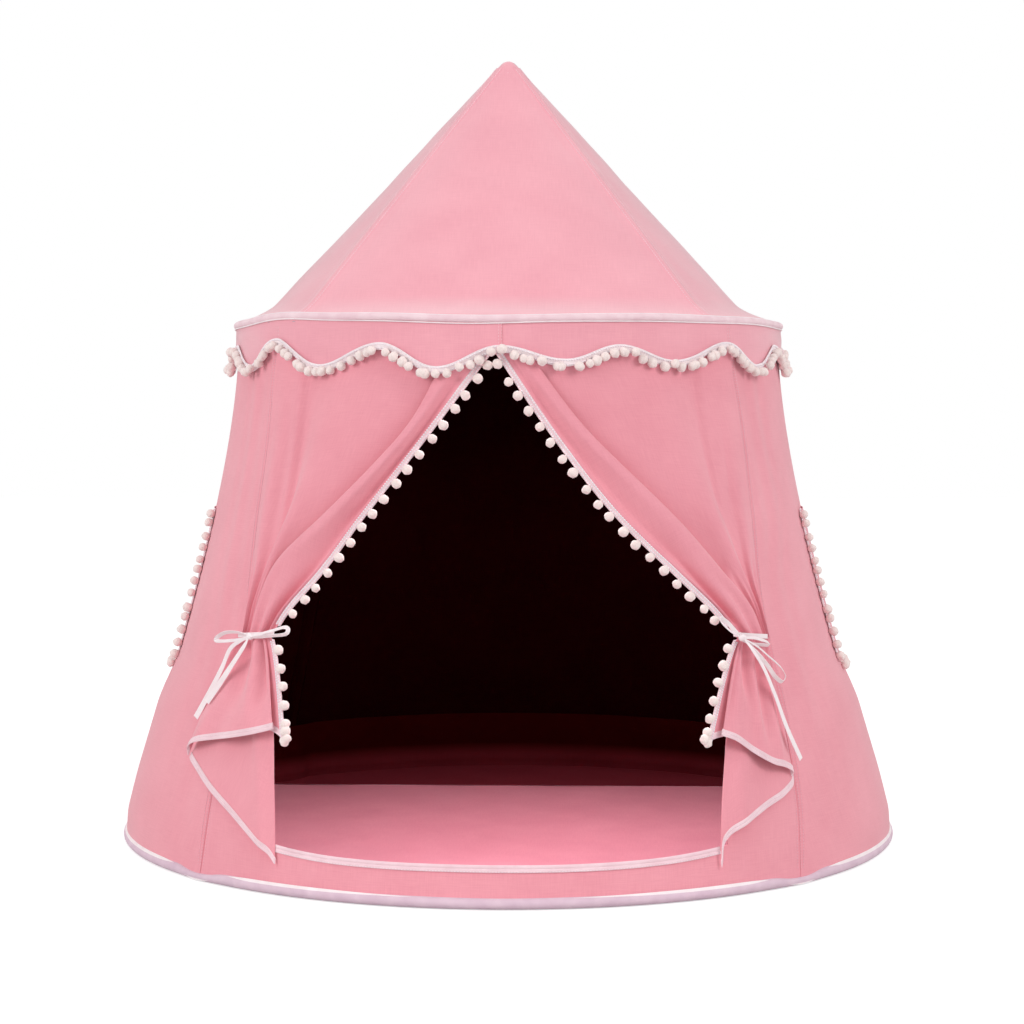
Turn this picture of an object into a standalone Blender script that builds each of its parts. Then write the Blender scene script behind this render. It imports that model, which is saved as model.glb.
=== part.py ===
"""Castle play tent: a round cloth tent on four flexible poles and two hoops, door towards -Y.

Metres, +Z up. The origin is the middle of the base, on the floor. An azimuth is measured in
degrees from the door, towards +X. A place on the wall is an azimuth, a height, and a distance
out from the outer face of the wall cloth.
"""

import bpy
import bmesh
import math
import numpy as np
from mathutils import Matrix, Vector

# Overall form
BASE_RADIUS = 0.600
EAVE_RADIUS = 0.431
EAVE_HEIGHT = 0.787
PEAK_HEIGHT = 1.216
WALL_FLARE = 0.65
WALL_ROWS = 8
WALL_ROW_SPREAD = 1.15
WALL_STEP = 9
ROOF_DISHING = 0.055
ROOF_FLARE_HEIGHT = 0.030
RIDGE_STEEPNESS = 0.985

# Cloth, tape and clearances
CLOTH = 0.0015
NETTING = 0.0008
GAP = 0.0003
TAPE_WIDTH = 0.010
TAPE_THICKNESS = 0.0015
TAPE_LAP = 0.006
POMPOM_RADIUS = 0.0070
POMPOM_PITCH = 0.025
POMPOM_NECK = 0.0040
POMPOM_SEAT = 0.80
POMPOM_FLAT = 0.74

# Hoops in their casings. The wall's seams lie this many casing radii in from the rim.
EAVE_SEAM_INSET = 1.5
BASE_SEAM_INSET = 0.8
EAVE_CASING_RADIUS = 0.0055
BASE_CASING_RADIUS = 0.0080
CASING_WALL = 0.0011
EAVE_HOOP_RADIUS = 0.0018
BASE_HOOP_RADIUS = 0.0030
FERRULE_WALL = 0.0012
FERRULE_HALF_ANGLE = 2.5
CASING_SLIT_HALF_ANGLE = 1.2
CASING_SIDES = 6
TUBE_SIDES = 8
RING_STEP = 9

# Poles and their fittings
POLE_RADIUS = 0.0040
SOCKET_WALL = 0.0020
SOCKET_CLEARANCE = 0.0007
SOCKET_LENGTH = 0.026
SOCKET_DEPTH = 0.018
WALL_POLE_INSET = 0.0087
FOOT_CUP_HEIGHT = 0.030
FOOT_CUP_FLOOR = 0.003
HUB_CORE_RADIUS = 0.013
HUB_CORE_LENGTH = 0.045
HUB_SOCKET_START = 0.018
APEX_ROUNDING = 0.020
APEX_CAP_OVERLAP = 0.010
APEX_CAP_LIFT = 0.00045
APEX_CAP_SIDES = 16
SLEEVE_CLOTH = 0.0010
SLEEVE_FLANGE = 0.008
SLEEVE_TOP_MARGIN = 0.035
POLE_RUN_IN = 0.12

# Door, valance and sill
DOOR_HALF_WIDTH = 0.305
SILL_HEIGHT = 0.060
HEADER_HEIGHT = 0.046
VALANCE_PEAK_DROP = 0.034
SCALLOP_DEPTH = 0.0285
SCALLOPS = 16
VALANCE_STANDOFF = 0.0034
VALANCE_POMPOM_PROUD = 0.0022

# Curtains, tied back at the front poles
CURTAIN_CLOTH = 0.0012
CURTAIN_STANDOFF = 0.0009
CURTAIN_MEETING_GAP = 0.006
CURTAIN_FOLDS = 3
TRIM_START = 0.15
TRIM_END = 0.88
TRIM_END_MARGIN = 0.012
FOLD_DEPTH = 0.009
FOLDS_START = (0.20, 0.80)
FOLDS_END = (1.03, 1.23)
CORNER_MARGIN_ANGLE = 0.4
# Down the curtain, where it leaves the wall to hang straight and where it is back on it
HANG_START = (0.14, 0.34)
HANG_END = (0.60, 0.82)
HANG_ACROSS = (0.20, 0.70)
BUNCH_START = (0.60, 1.00)
BUNCH_END = (1.00, 1.40)
TIE_HEIGHT = 0.336
TIE_AZIMUTH = 41.1
BUNCH_WIDTH = 0.040
BUNCH_STANDOFF = 0.0045
BAND_HEIGHT = 0.008
BAND_THICKNESS = 0.0010
BAND_CLEARANCE = 0.0010
BAND_SIDE_CLEARANCE = 0.0045
BAND_ROUNDNESS = 0.3
RETURN_HEM_TIP_HEIGHT = 0.042
RETURN_FOLD_HEIGHT = 0.172
RETURN_FOLD_AZIMUTH = 53.0
JAMB_MARGIN_ANGLE = 1.0
TAIL_HEM_HEIGHT = 0.205
TAIL_HEM_DROP = 0.022
TAIL_FOLD_AZIMUTH = 52.0
TAIL_FREE_AZIMUTH = 33.5
TAIL_BULGE = 0.016
TAIL_STANDOFF = 0.008
TAIL_SPREAD = 0.8
TAIL_FOLDS = 2
TAIL_FOLD_SHARE = 0.55
TAIL_SWELLS = (0.10, 0.80)
TAIL_TRIM_START = 0.1
TAIL_TRIM_MARGIN = 0.010

# Bow
BOW_END_DROP = (0.0, 0.25)
RIBBON_WIDTH = 0.007
RIBBON_THICKNESS = 0.0012
KNOT_RADIUS = 0.0045
KNOT_LENGTH = 0.012
BOW_LOOP_LENGTH = 0.048
BOW_LOOP_HEIGHT = 0.016
BOW_LOOP_TUCK = 0.03
BOW_LOOP_GAPE = 0.12
# Each loop's reach as a share of its length, and how far its end falls
BOW_LOOPS = ((1.0, 0.006), (-0.75, 0.004))
# How far each end leans along the wall, in degrees, and its length
BOW_ENDS = ((6.5, 0.105), (2.2, 0.084))

# Side windows and their flaps
WINDOW_BOTTOM = 0.300
WINDOW_HEIGHT = 0.180
WINDOW_HALF_ANGLE = 10.0
BINDING_ANGLE = 2.0
BINDING_WIDTH = 0.012
FLAP_HALF_WIDTH = 0.100
FLAP_TOP_MARGIN = 0.026
FLAP_FOOT_MARGIN = 0.024
FLAP_CORNER = 0.012
FLAP_SEAM_TUCK = 0.0007
FLAP_FOOT_CLEARANCE = 0.0030
FLAP_POMPOM_PROUD = 0.0030
FLAP_TRIM_MARGIN = 0.010

# Worked out from the sizes above
FLAT_OF_SIX = math.cos(math.pi / CASING_SIDES)
FLAT_OF_EIGHT = math.cos(math.pi / TUBE_SIDES)
BASE_CASING_HEIGHT = BASE_CASING_RADIUS * FLAT_OF_SIX
BASE_CASING_CENTRE = BASE_RADIUS - BASE_CASING_RADIUS
EAVE_CASING_CENTRE = EAVE_RADIUS - EAVE_CASING_RADIUS
WALL_TOP = EAVE_HEIGHT - EAVE_CASING_RADIUS * FLAT_OF_SIX - GAP
WALL_FOOT = 2 * BASE_CASING_HEIGHT + GAP
WALL_TOP_RADIUS = EAVE_RADIUS - EAVE_SEAM_INSET * EAVE_CASING_RADIUS
WALL_FOOT_RADIUS = BASE_RADIUS - BASE_SEAM_INSET * BASE_CASING_RADIUS
ROOF_FOOT = EAVE_HEIGHT + EAVE_CASING_RADIUS * FLAT_OF_SIX + GAP
RIDGE_SLOPE = EAVE_CASING_CENTRE / (PEAK_HEIGHT - EAVE_HEIGHT) * RIDGE_STEEPNESS
SOCKET_BORE = POLE_RADIUS + SOCKET_CLEARANCE
SOCKET_RADIUS = SOCKET_BORE + SOCKET_WALL
ROOF_POLE_INSET = SOCKET_RADIUS + CLOTH + 2 * GAP
HEADER_FOOT = WALL_TOP - HEADER_HEIGHT
POLE_AZIMUTHS = {"front_right": 45, "back_right": 135, "back_left": -135, "front_left": -45}

PINK = (0.90, 0.41, 0.47)
PALE_PINK = (0.78, 0.60, 0.64)
WHITE = (0.87, 0.80, 0.80)
LAVENDER = (0.80, 0.61, 0.69)
STEEL = (0.45, 0.45, 0.46)
GLASS_FIBRE = (0.82, 0.82, 0.80)
MOULDING = (0.80, 0.78, 0.77)


def mix(start, end, share):
    return start + (end - start) * share


def smooth(share):
    share = min(max(share, 0.0), 1.0)
    return share * share * (3 - 2 * share)


def ramp(value, span):
    """0 before the span, 1 after it, and a smooth change from one to the other within it."""
    return smooth((value - span[0]) / (span[1] - span[0]))


def place(azimuth, radius, height):
    """The point at an azimuth in degrees, a radius and a height."""
    turn = math.radians(azimuth)
    return np.array([radius * math.sin(turn), -radius * math.cos(turn), height])


def around(azimuth):
    """The level direction along the wall at an azimuth, away from the door on the right side."""
    turn = math.radians(azimuth)
    return np.array([math.cos(turn), math.sin(turn), 0.0])


def outward(azimuth):
    return place(azimuth, 1.0, 0.0)


def flared_radius(height):
    """The wall's outline: nearly upright at the eave, flaring towards the base."""
    down = (WALL_TOP - height) / (WALL_TOP - WALL_FOOT)
    share = down * down * (1 + WALL_FLARE) / (down + WALL_FLARE)
    return mix(WALL_TOP_RADIUS, WALL_FOOT_RADIUS, share)


STATIONS = [mix(WALL_FOOT, WALL_TOP, (row / WALL_ROWS) ** WALL_ROW_SPREAD)
            for row in range(WALL_ROWS + 1)]
STATION_RADII = [flared_radius(height) for height in STATIONS]


def wall_radius(height):
    """The outer face of the wall cloth, straight between stations so that its layers nest."""
    return float(np.interp(height, STATIONS, STATION_RADII))


def wall_normal(azimuth, height):
    """Square to the wall, pointing out."""
    drop = 0.02
    lean = (wall_radius(height - drop) - wall_radius(height + drop)) / (2 * drop)
    return unit(outward(azimuth) + np.array([0.0, 0.0, lean]))


def on_wall(azimuth, height, out=0.0):
    return place(azimuth, wall_radius(height) + out, height)


def unit(vectors):
    return vectors / np.linalg.norm(vectors, axis=-1, keepdims=True)


def colour_of(node, colour, roughness, metallic):
    material = bpy.data.materials.new(node + "_finish")
    material.use_nodes = True
    shader = material.node_tree.nodes["Principled BSDF"]
    shader.inputs["Base Color"].default_value = (*colour, 1.0)
    shader.inputs["Roughness"].default_value = roughness
    shader.inputs["Metallic"].default_value = metallic
    return material


def mesh_object(name, points, faces, colour, roughness=0.9, metallic=0.0):
    """A node made of these points and faces, its faces turned outward."""
    mesh = bpy.data.meshes.new(name)
    mesh.from_pydata([tuple(map(float, point)) for point in points], [], faces)
    body = bmesh.new()
    body.from_mesh(mesh)
    bmesh.ops.recalc_face_normals(body, faces=body.faces)
    if body.calc_volume(signed=True) < 0:
        bmesh.ops.reverse_faces(body, faces=body.faces)
    body.to_mesh(mesh)
    body.free()
    mesh.shade_smooth()
    mesh.set_sharp_from_angle(angle=math.radians(35))
    node = bpy.data.objects.new(name, mesh)
    bpy.context.scene.collection.objects.link(node)
    mesh.materials.append(colour_of(name, colour, roughness, metallic))
    return node


def loft(rings, closed=False):
    """Points and faces through rings of as many points each, capped unless the loft is closed."""
    rings = np.array(rings)
    count, sides = rings.shape[:2]
    faces = []
    for ring in range(count if closed else count - 1):
        here, there = ring * sides, (ring + 1) % count * sides
        for side in range(sides):
            after = (side + 1) % sides
            faces.append((here + side, here + after, there + after, there + side))
    if not closed:
        faces.append(tuple(range(sides)))
        faces.append(tuple(range((count - 1) * sides, count * sides)))
    return rings.reshape(-1, 3), faces


def slab(outer, inner, keep=None, wrap=False):
    """A sheet between two grids of points, without the cells that keep leaves out."""
    outer, inner = np.array(outer), np.array(inner)
    rows, columns = outer.shape[:2]
    across = columns if wrap else columns - 1
    if keep is None:
        keep = np.ones((rows - 1, across), bool)
    lower = rows * columns
    faces, edges = [], {}
    for row in range(rows - 1):
        for column in range(across):
            if not keep[row][column]:
                continue
            after = (column + 1) % columns
            corners = (row * columns + column, row * columns + after,
                       (row + 1) * columns + after, (row + 1) * columns + column)
            faces.append(corners)
            faces.append(tuple(lower + corner for corner in reversed(corners)))
            for start, end in zip(corners, corners[1:] + corners[:1]):
                if (end, start) in edges:
                    del edges[(end, start)]
                else:
                    edges[(start, end)] = True
    for start, end in edges:
        faces.append((end, start, lower + start, lower + end))
    points = np.concatenate([outer.reshape(-1, 3), inner.reshape(-1, 3)])
    used = sorted({corner for face in faces for corner in face})
    index = {corner: number for number, corner in enumerate(used)}
    return points[used], [tuple(index[corner] for corner in face) for face in faces]


def ring_about(centre, side, up, radius, sides=TUBE_SIDES):
    """A ring of points about a centre, with a flat side up."""
    shift = 0.5 if sides % 4 == 0 else 0.0
    turns = (np.arange(sides) + shift) * 2 * math.pi / sides
    return centre + radius * (np.outer(np.cos(turns), side) + np.outer(np.sin(turns), up))


def rings_along(path, up, radius, sides=TUBE_SIDES):
    """Rings square to a path, flat towards up."""
    path = np.array(path)
    tangents = unit(np.gradient(path, axis=0))
    rings = []
    for centre, tangent in zip(path, tangents):
        side = unit(np.cross(tangent, up))
        rings.append(ring_about(centre, side, np.cross(side, tangent), radius, sides))
    return rings


def united(name, shapes, colour, roughness=0.9):
    """One node from shapes that overlap, joined by Boolean unions."""
    node = mesh_object(name, *shapes[0], colour, roughness)
    for shape in shapes[1:]:
        helper = mesh_object(name + "_part", *shape, colour)
        union = node.modifiers.new("union", "BOOLEAN")
        union.operation = "UNION"
        union.object = helper
        graph = bpy.context.evaluated_depsgraph_get()
        joined = bpy.data.meshes.new_from_object(node.evaluated_get(graph))
        node.modifiers.remove(union)
        node.data = joined
        bpy.data.objects.remove(helper)
    return node


def hang(name, point, nodes):
    """Hang the pieces that move together from an empty on their joint's axis."""
    pivot = bpy.data.objects.new(name, None)
    pivot.location = Vector(point)
    bpy.context.scene.collection.objects.link(pivot)
    for node in nodes:
        node.parent = pivot
        node.matrix_parent_inverse = Matrix.Translation(-Vector(point))


def pompom_tape(name, edge, normals, towards, first, lap=0.0, proud=0.0, wrap=False):
    """Woven tape sewn along a cloth's edge, with a pompom on its free side at each pitch.

    It laps over the cloth by lap, or carries on from the edge where lap is nothing."""
    edge, normals = np.array(edge), np.array(normals)
    if wrap:
        edge, normals = np.concatenate([edge, edge[:1]]), np.concatenate([normals, normals[:1]])
    tangents = np.gradient(edge, axis=0)
    if wrap:
        tangents[0] = tangents[-1] = edge[1] - edge[-2]
    tangents = unit(tangents)
    away = unit(np.cross(tangents, normals))
    away = away * np.sign(np.sum(away * towards, axis=1, keepdims=True))
    start = GAP - lap
    far = edge + away * (start + TAPE_WIDTH)
    along = np.concatenate([[0.0], np.cumsum(np.linalg.norm(np.diff(far, axis=0), axis=1))])
    room = along[-1] - (0 if wrap else 2 * first)
    count = max(int(room / POMPOM_PITCH), 1)

    def section(reach):
        """The edge of the cloth, the way into the tape, and out of it, at a distance along."""
        picked = [np.array([np.interp(reach, along, axis) for axis in values.T])
                  for values in (edge, away, normals)]
        return picked[0], unit(picked[1]), unit(picked[2])

    middles = [first + room * number / count for number in range(count + (0 if wrap else 1))]
    reaches = [middle + side for middle in middles for side in (-POMPOM_NECK / 2, POMPOM_NECK / 2)]
    if not wrap:
        reaches = [0.0, *reaches, along[-1]]
    points, faces = [], []
    for reach in reaches:
        base, free, out = section(reach)
        lift = out * TAPE_THICKNESS / 2
        tip = base + free * (start + TAPE_WIDTH)
        points += [base + free * start - lift, tip + lift, tip - lift]
    rings = len(reaches)
    for ring in range(rings if wrap else rings - 1):
        here, there = 3 * ring, 3 * ((ring + 1) % rings)
        sides = [(0, 1), (1, 2), (2, 0)]
        if (ring % 2 == 0) == wrap:
            base, free, out = section(middles[ring // 2])
            centre = base + free * (start + TAPE_WIDTH + POMPOM_RADIUS * POMPOM_SEAT) + out * proud
            rim = (here + 1, there + 1, there + 2, here + 2)
            faces += pompom_faces(points, rim, centre, free, out)
            sides.remove((1, 2))
        faces += [(here + low, here + high, there + high, there + low) for low, high in sides]
    if not wrap:
        faces += [(0, 1, 2), tuple(3 * (rings - 1) + corner for corner in range(3))]
    return mesh_object(name, points, faces, WHITE)


def pompom_faces(points, rim, centre, free, out):
    """A faceted ball that grows from a rim on the tape, its flats towards the cloth behind it."""
    along = np.cross(free, out)
    along = along * np.sign(np.dot(along, points[rim[1]] - points[rim[0]]))
    half = POMPOM_RADIUS * POMPOM_FLAT
    first = len(points)
    points += [centre - along * half + out * half, centre + along * half + out * half,
               centre + along * half - out * half, centre - along * half - out * half,
               centre + free * POMPOM_RADIUS]
    faces = []
    for turn in range(4):
        after = (turn + 1) % 4
        faces.append((rim[turn], rim[after], first + after, first + turn))
        faces.append((first + turn, first + after, first + 4))
    return faces


def ring_azimuths(clear):
    """Azimuths once round from the back, leaving an opening of this half angle there."""
    steps = int(360 / RING_STEP)
    azimuths = [180 + clear, 180 + FERRULE_HALF_ANGLE]
    azimuths += [180 + RING_STEP * step for step in range(1, steps)]
    return azimuths + [540 - FERRULE_HALF_ANGLE, 540 - clear]


def ring_path(azimuths, radius, height):
    return [place(azimuth, radius, height) for azimuth in azimuths]


def pipe(path, up, outer, inner, sides):
    """A tube open at both ends."""
    outside = rings_along(path, up, outer, sides)
    inside = rings_along(path, up, inner, sides)
    return loft(outside + inside[::-1], closed=True)


def hoop_set(place_name, radius, height, casing_radius, hoop_radius, colour):
    """A sprung hoop, the ferrule that closes it at the back, and the cloth casing round both."""
    up = np.array([0.0, 0.0, 1.0])
    bore = hoop_radius + SOCKET_CLEARANCE
    casing = ring_path(ring_azimuths(CASING_SLIT_HALF_ANGLE), radius, height)
    hoop = ring_path(ring_azimuths(math.degrees(GAP / radius)), radius, height)
    ferrule = ring_path([180 - FERRULE_HALF_ANGLE, 180, 180 + FERRULE_HALF_ANGLE], radius, height)
    inner = casing_radius - CASING_WALL
    mesh_object(place_name + "_casing", *pipe(casing, up, casing_radius, inner, CASING_SIDES), colour)
    wire = loft(rings_along(hoop, up, hoop_radius, CASING_SIDES))
    mesh_object(place_name + "_hoop", *wire, STEEL, 0.35, 1.0)
    sleeve = pipe(ferrule, up, bore + FERRULE_WALL, bore, TUBE_SIDES)
    mesh_object(place_name + "_hoop_ferrule", *sleeve, STEEL, 0.3, 1.0)


def ridge_radius(height):
    return RIDGE_SLOPE * (PEAK_HEIGHT - height)


def roof_radius(share, height):
    """The roof's outer face, with share -1 to 1 across a panel: dished between its ridges, and
    flared at the eave."""
    plan = 1 - ROOF_DISHING * (1 - share * share)
    flare = min(max((ROOF_FOOT + ROOF_FLARE_HEIGHT - height) / ROOF_FLARE_HEIGHT, 0.0), 1.0)
    lift = EAVE_CASING_CENTRE - plan * ridge_radius(ROOF_FOOT)
    return plan * ridge_radius(height) + lift * flare * flare


def roof_pole_radius(height):
    """The centre line of a roof pole, which runs under a ridge."""
    return ridge_radius(height) - ROOF_POLE_INSET * math.hypot(1, RIDGE_SLOPE)


def roof_pole_height(radius):
    return PEAK_HEIGHT - (radius + ROOF_POLE_INSET * math.hypot(1, RIDGE_SLOPE)) / RIDGE_SLOPE


CORNER_RADIUS = WALL_TOP_RADIUS - WALL_POLE_INSET
CORNER_HEIGHT = roof_pole_height(CORNER_RADIUS)
CUP_CENTRE = BASE_RADIUS - 2 * BASE_CASING_RADIUS - 2 * GAP - SOCKET_RADIUS
POLE_FOOT = CLOTH + GAP + FOOT_CUP_FLOOR + 4 * GAP


def wall_pole_radius(height):
    """The centre line of a wall pole: along the wall, then in to its cup beside the base hoop."""
    reach = min(max((POLE_RUN_IN - height) / (POLE_RUN_IN - POLE_FOOT), 0.0), 1.0)
    run_in = wall_radius(POLE_FOOT) - WALL_POLE_INSET - CUP_CENTRE
    return wall_radius(height) - WALL_POLE_INSET - run_in * reach * reach


def roof_panel(name, azimuth, columns=8, rows=6):
    """One of four gores, from the eave casing up to the rim under the apex cap."""
    heights = [ROOF_FOOT, ROOF_FOOT + ROOF_FLARE_HEIGHT / 2, ROOF_FOOT + ROOF_FLARE_HEIGHT]
    top = PEAK_HEIGHT - APEX_ROUNDING / RIDGE_SLOPE
    heights += [mix(heights[-1], top, row / (rows - 3)) for row in range(1, rows - 2)]
    offset = CLOTH * math.hypot(1, RIDGE_SLOPE)
    outer, inner = [], []
    for height in heights:
        half = 45 - math.degrees(GAP / 2 / roof_radius(1, height))
        outer.append([])
        inner.append([])
        for column in range(columns + 1):
            share = 2 * column / columns - 1
            radius = roof_radius(share, height)
            outer[-1].append(place(azimuth + half * share, radius, height))
            inner[-1].append(place(azimuth + half * share, radius - offset, height))
    mesh_object(name, *slab(outer, inner), PINK)


def wall_grid(azimuths, heights, out):
    return [[on_wall(azimuth, height, out) for azimuth in azimuths] for height in heights]


def panel_edge():
    """Half the angle that a wall panel covers, clear of its neighbour."""
    return 45 - math.degrees(GAP / 2 / WALL_TOP_RADIUS)


def wall_heights(extra=()):
    """Heights up the wall at its stations, and at the edges of what is cut in it or sewn on it."""
    clear = (WALL_TOP - WALL_FOOT) / WALL_ROWS / 4
    kept = [height for height in STATIONS[1:-1] if all(abs(height - other) > clear for other in extra)]
    return sorted([STATIONS[0], *kept, *extra, STATIONS[-1]])


def plain_wall(name, azimuth):
    steps = round(2 * panel_edge() / WALL_STEP)
    azimuths = [azimuth + mix(-panel_edge(), panel_edge(), step / steps) for step in range(steps + 1)]
    heights = wall_heights()
    grids = [wall_grid(azimuths, heights, out) for out in (0, -CLOTH)]
    mesh_object(name, *slab(*grids), PINK)


def window_wall(side, azimuth):
    """A side wall with its window, the netting behind it, and the tape bound round the hole."""
    half = WINDOW_HALF_ANGLE
    wide = half + BINDING_ANGLE
    spread = [mix(-panel_edge(), -wide, step / 3) for step in range(4)]
    offsets = [*spread, -half, -half / 2, 0]
    offsets += [-offset for offset in offsets[-2::-1]]
    azimuths = [azimuth + offset for offset in offsets]
    top = WINDOW_BOTTOM + WINDOW_HEIGHT
    heights = wall_heights((WINDOW_BOTTOM - BINDING_WIDTH, WINDOW_BOTTOM, top, top + BINDING_WIDTH))
    keep = [[not (WINDOW_BOTTOM <= low < top and -half <= left < half) for left in offsets[:-1]]
            for low in heights[:-1]]
    outer, inner = wall_grid(azimuths, heights, 0), wall_grid(azimuths, heights, -CLOTH)
    mesh_object("wall_panel_" + side, *slab(outer, inner, keep), PINK)

    frame_azimuths = [azimuth + offset for offset in (-wide, -half, -half / 2, 0, half / 2, half, wide)]
    inside = [height for height in heights if WINDOW_BOTTOM <= height <= top]
    frame_heights = [WINDOW_BOTTOM - BINDING_WIDTH, *inside, top + BINDING_WIDTH]
    rim = [[row in (0, len(frame_heights) - 2) or column in (0, 5) for column in range(6)]
           for row in range(len(frame_heights) - 1)]
    outer = wall_grid(frame_azimuths, frame_heights, GAP + TAPE_THICKNESS)
    inner = wall_grid(frame_azimuths, frame_heights, GAP)
    mesh_object("window_binding_" + side, *slab(outer, inner, rim), WHITE)
    outer = wall_grid(frame_azimuths, frame_heights, -CLOTH - GAP)
    inner = wall_grid(frame_azimuths, frame_heights, -CLOTH - GAP - NETTING)
    mesh_object("window_netting_" + side, *slab(outer, inner), WHITE)


def jamb_azimuth(height):
    """The upright edge of the door opening, which keeps its distance from the middle."""
    return math.degrees(math.asin(min(DOOR_HALF_WIDTH / wall_radius(height), 1.0)))


def door_azimuths(height):
    """Columns of the front panel, with one on each jamb, at this height."""
    jamb = min(jamb_azimuth(height), panel_edge() - 1)
    inner = [jamb * step / 4 for step in range(-4, 5)]
    middle = (jamb + panel_edge()) / 2
    return [-panel_edge(), -middle, *inner, middle, panel_edge()]


def door_surround():
    heights = wall_heights((SILL_HEIGHT, HEADER_FOOT))
    grids = [[[on_wall(azimuth, height, out) for azimuth in door_azimuths(height)] for height in heights]
             for out in (0, -CLOTH)]
    columns = len(door_azimuths(SILL_HEIGHT))
    keep = [[not (SILL_HEIGHT <= low < HEADER_FOOT and 2 <= column < columns - 3)
             for column in range(columns - 1)] for low in heights[:-1]]
    mesh_object("door_surround", *slab(*grids, keep), PINK)


def door_sill_binding():
    """Tape folded over the top edge of the sill."""
    jamb = jamb_azimuth(SILL_HEIGHT)
    half = jamb - math.degrees(GAP / wall_radius(SILL_HEIGHT))
    low, top = SILL_HEIGHT - TAPE_WIDTH, SILL_HEIGHT + GAP
    cover = top + TAPE_THICKNESS
    section = [(GAP + TAPE_THICKNESS, low), (GAP + TAPE_THICKNESS, cover)]
    section += [(-CLOTH - GAP - TAPE_THICKNESS, cover), (-CLOTH - GAP - TAPE_THICKNESS, low)]
    section += [(-CLOTH - GAP, low), (-CLOTH - GAP, top), (GAP, top), (GAP, low)]
    steps = 8
    rings = [[on_wall(mix(-half, half, step / steps), height, out) for out, height in section]
             for step in range(steps + 1)]
    mesh_object("door_sill_binding", *loft(rings), WHITE)


def groundsheet():
    radius = BASE_RADIUS - 2 * BASE_CASING_RADIUS - GAP
    azimuths = [RING_STEP * step for step in range(int(360 / RING_STEP))]
    rings = [ring_path(azimuths, radius, height) for height in (0.0, CLOTH)]
    mesh_object("groundsheet", *loft(rings), PINK)


def apex_cap():
    """A round patch over the point where the four gores meet."""
    steep = math.hypot(1, 1 / RIDGE_SLOPE)
    azimuths = [360 * side / APEX_CAP_SIDES for side in range(APEX_CAP_SIDES)]
    radii = [APEX_ROUNDING / 8, APEX_ROUNDING / 2, APEX_ROUNDING, APEX_ROUNDING + APEX_CAP_OVERLAP]

    def ring(radius, lift):
        blunted = (radius * radius + APEX_ROUNDING * APEX_ROUNDING) / (2 * APEX_ROUNDING)
        slant = blunted if radius < APEX_ROUNDING else radius
        height = PEAK_HEIGHT - slant / RIDGE_SLOPE + lift * steep
        return [place(azimuth, radius, height) for azimuth in azimuths]

    rings = [ring(radius, APEX_CAP_LIFT + CLOTH) for radius in radii]
    rings += [ring(radius, APEX_CAP_LIFT) for radius in reversed(radii)]
    mesh_object("apex_cap", *loft(rings), PINK)


def roof_pole_path(azimuth, start, end):
    return [place(azimuth, radius, roof_pole_height(radius)) for radius in (start, end)]


def apex_hub():
    """A moulded core with a socket towards each roof pole."""
    up = np.array([0.0, 0.0, 1.0])
    top = roof_pole_height(0) - SOCKET_RADIUS
    low, high = np.array([0, 0, top - HUB_CORE_LENGTH]), np.array([0, 0, top])
    sides = (np.array([1.0, 0, 0]), np.array([0, 1.0, 0]))
    shapes = [loft([ring_about(end, *sides, HUB_CORE_RADIUS) for end in (low, high)])]
    mouth = HUB_SOCKET_START + SOCKET_DEPTH
    for azimuth in POLE_AZIMUTHS.values():
        path = roof_pole_path(azimuth, HUB_CORE_RADIUS / 3, mouth)
        bore = roof_pole_path(azimuth, HUB_SOCKET_START, mouth)
        side = around(azimuth)
        outside = rings_along(path, side, SOCKET_RADIUS)
        inside = rings_along(bore, side, SOCKET_BORE)
        shapes.append(loft(outside + inside[::-1]))
    united("apex_hub", shapes, MOULDING, 0.45)


def cup_levels():
    """Heights up a foot cup, from the pole's foot to its mouth."""
    top = CLOTH + GAP + FOOT_CUP_HEIGHT
    return [mix(POLE_FOOT, top, step / 2) for step in range(3)]


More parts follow.
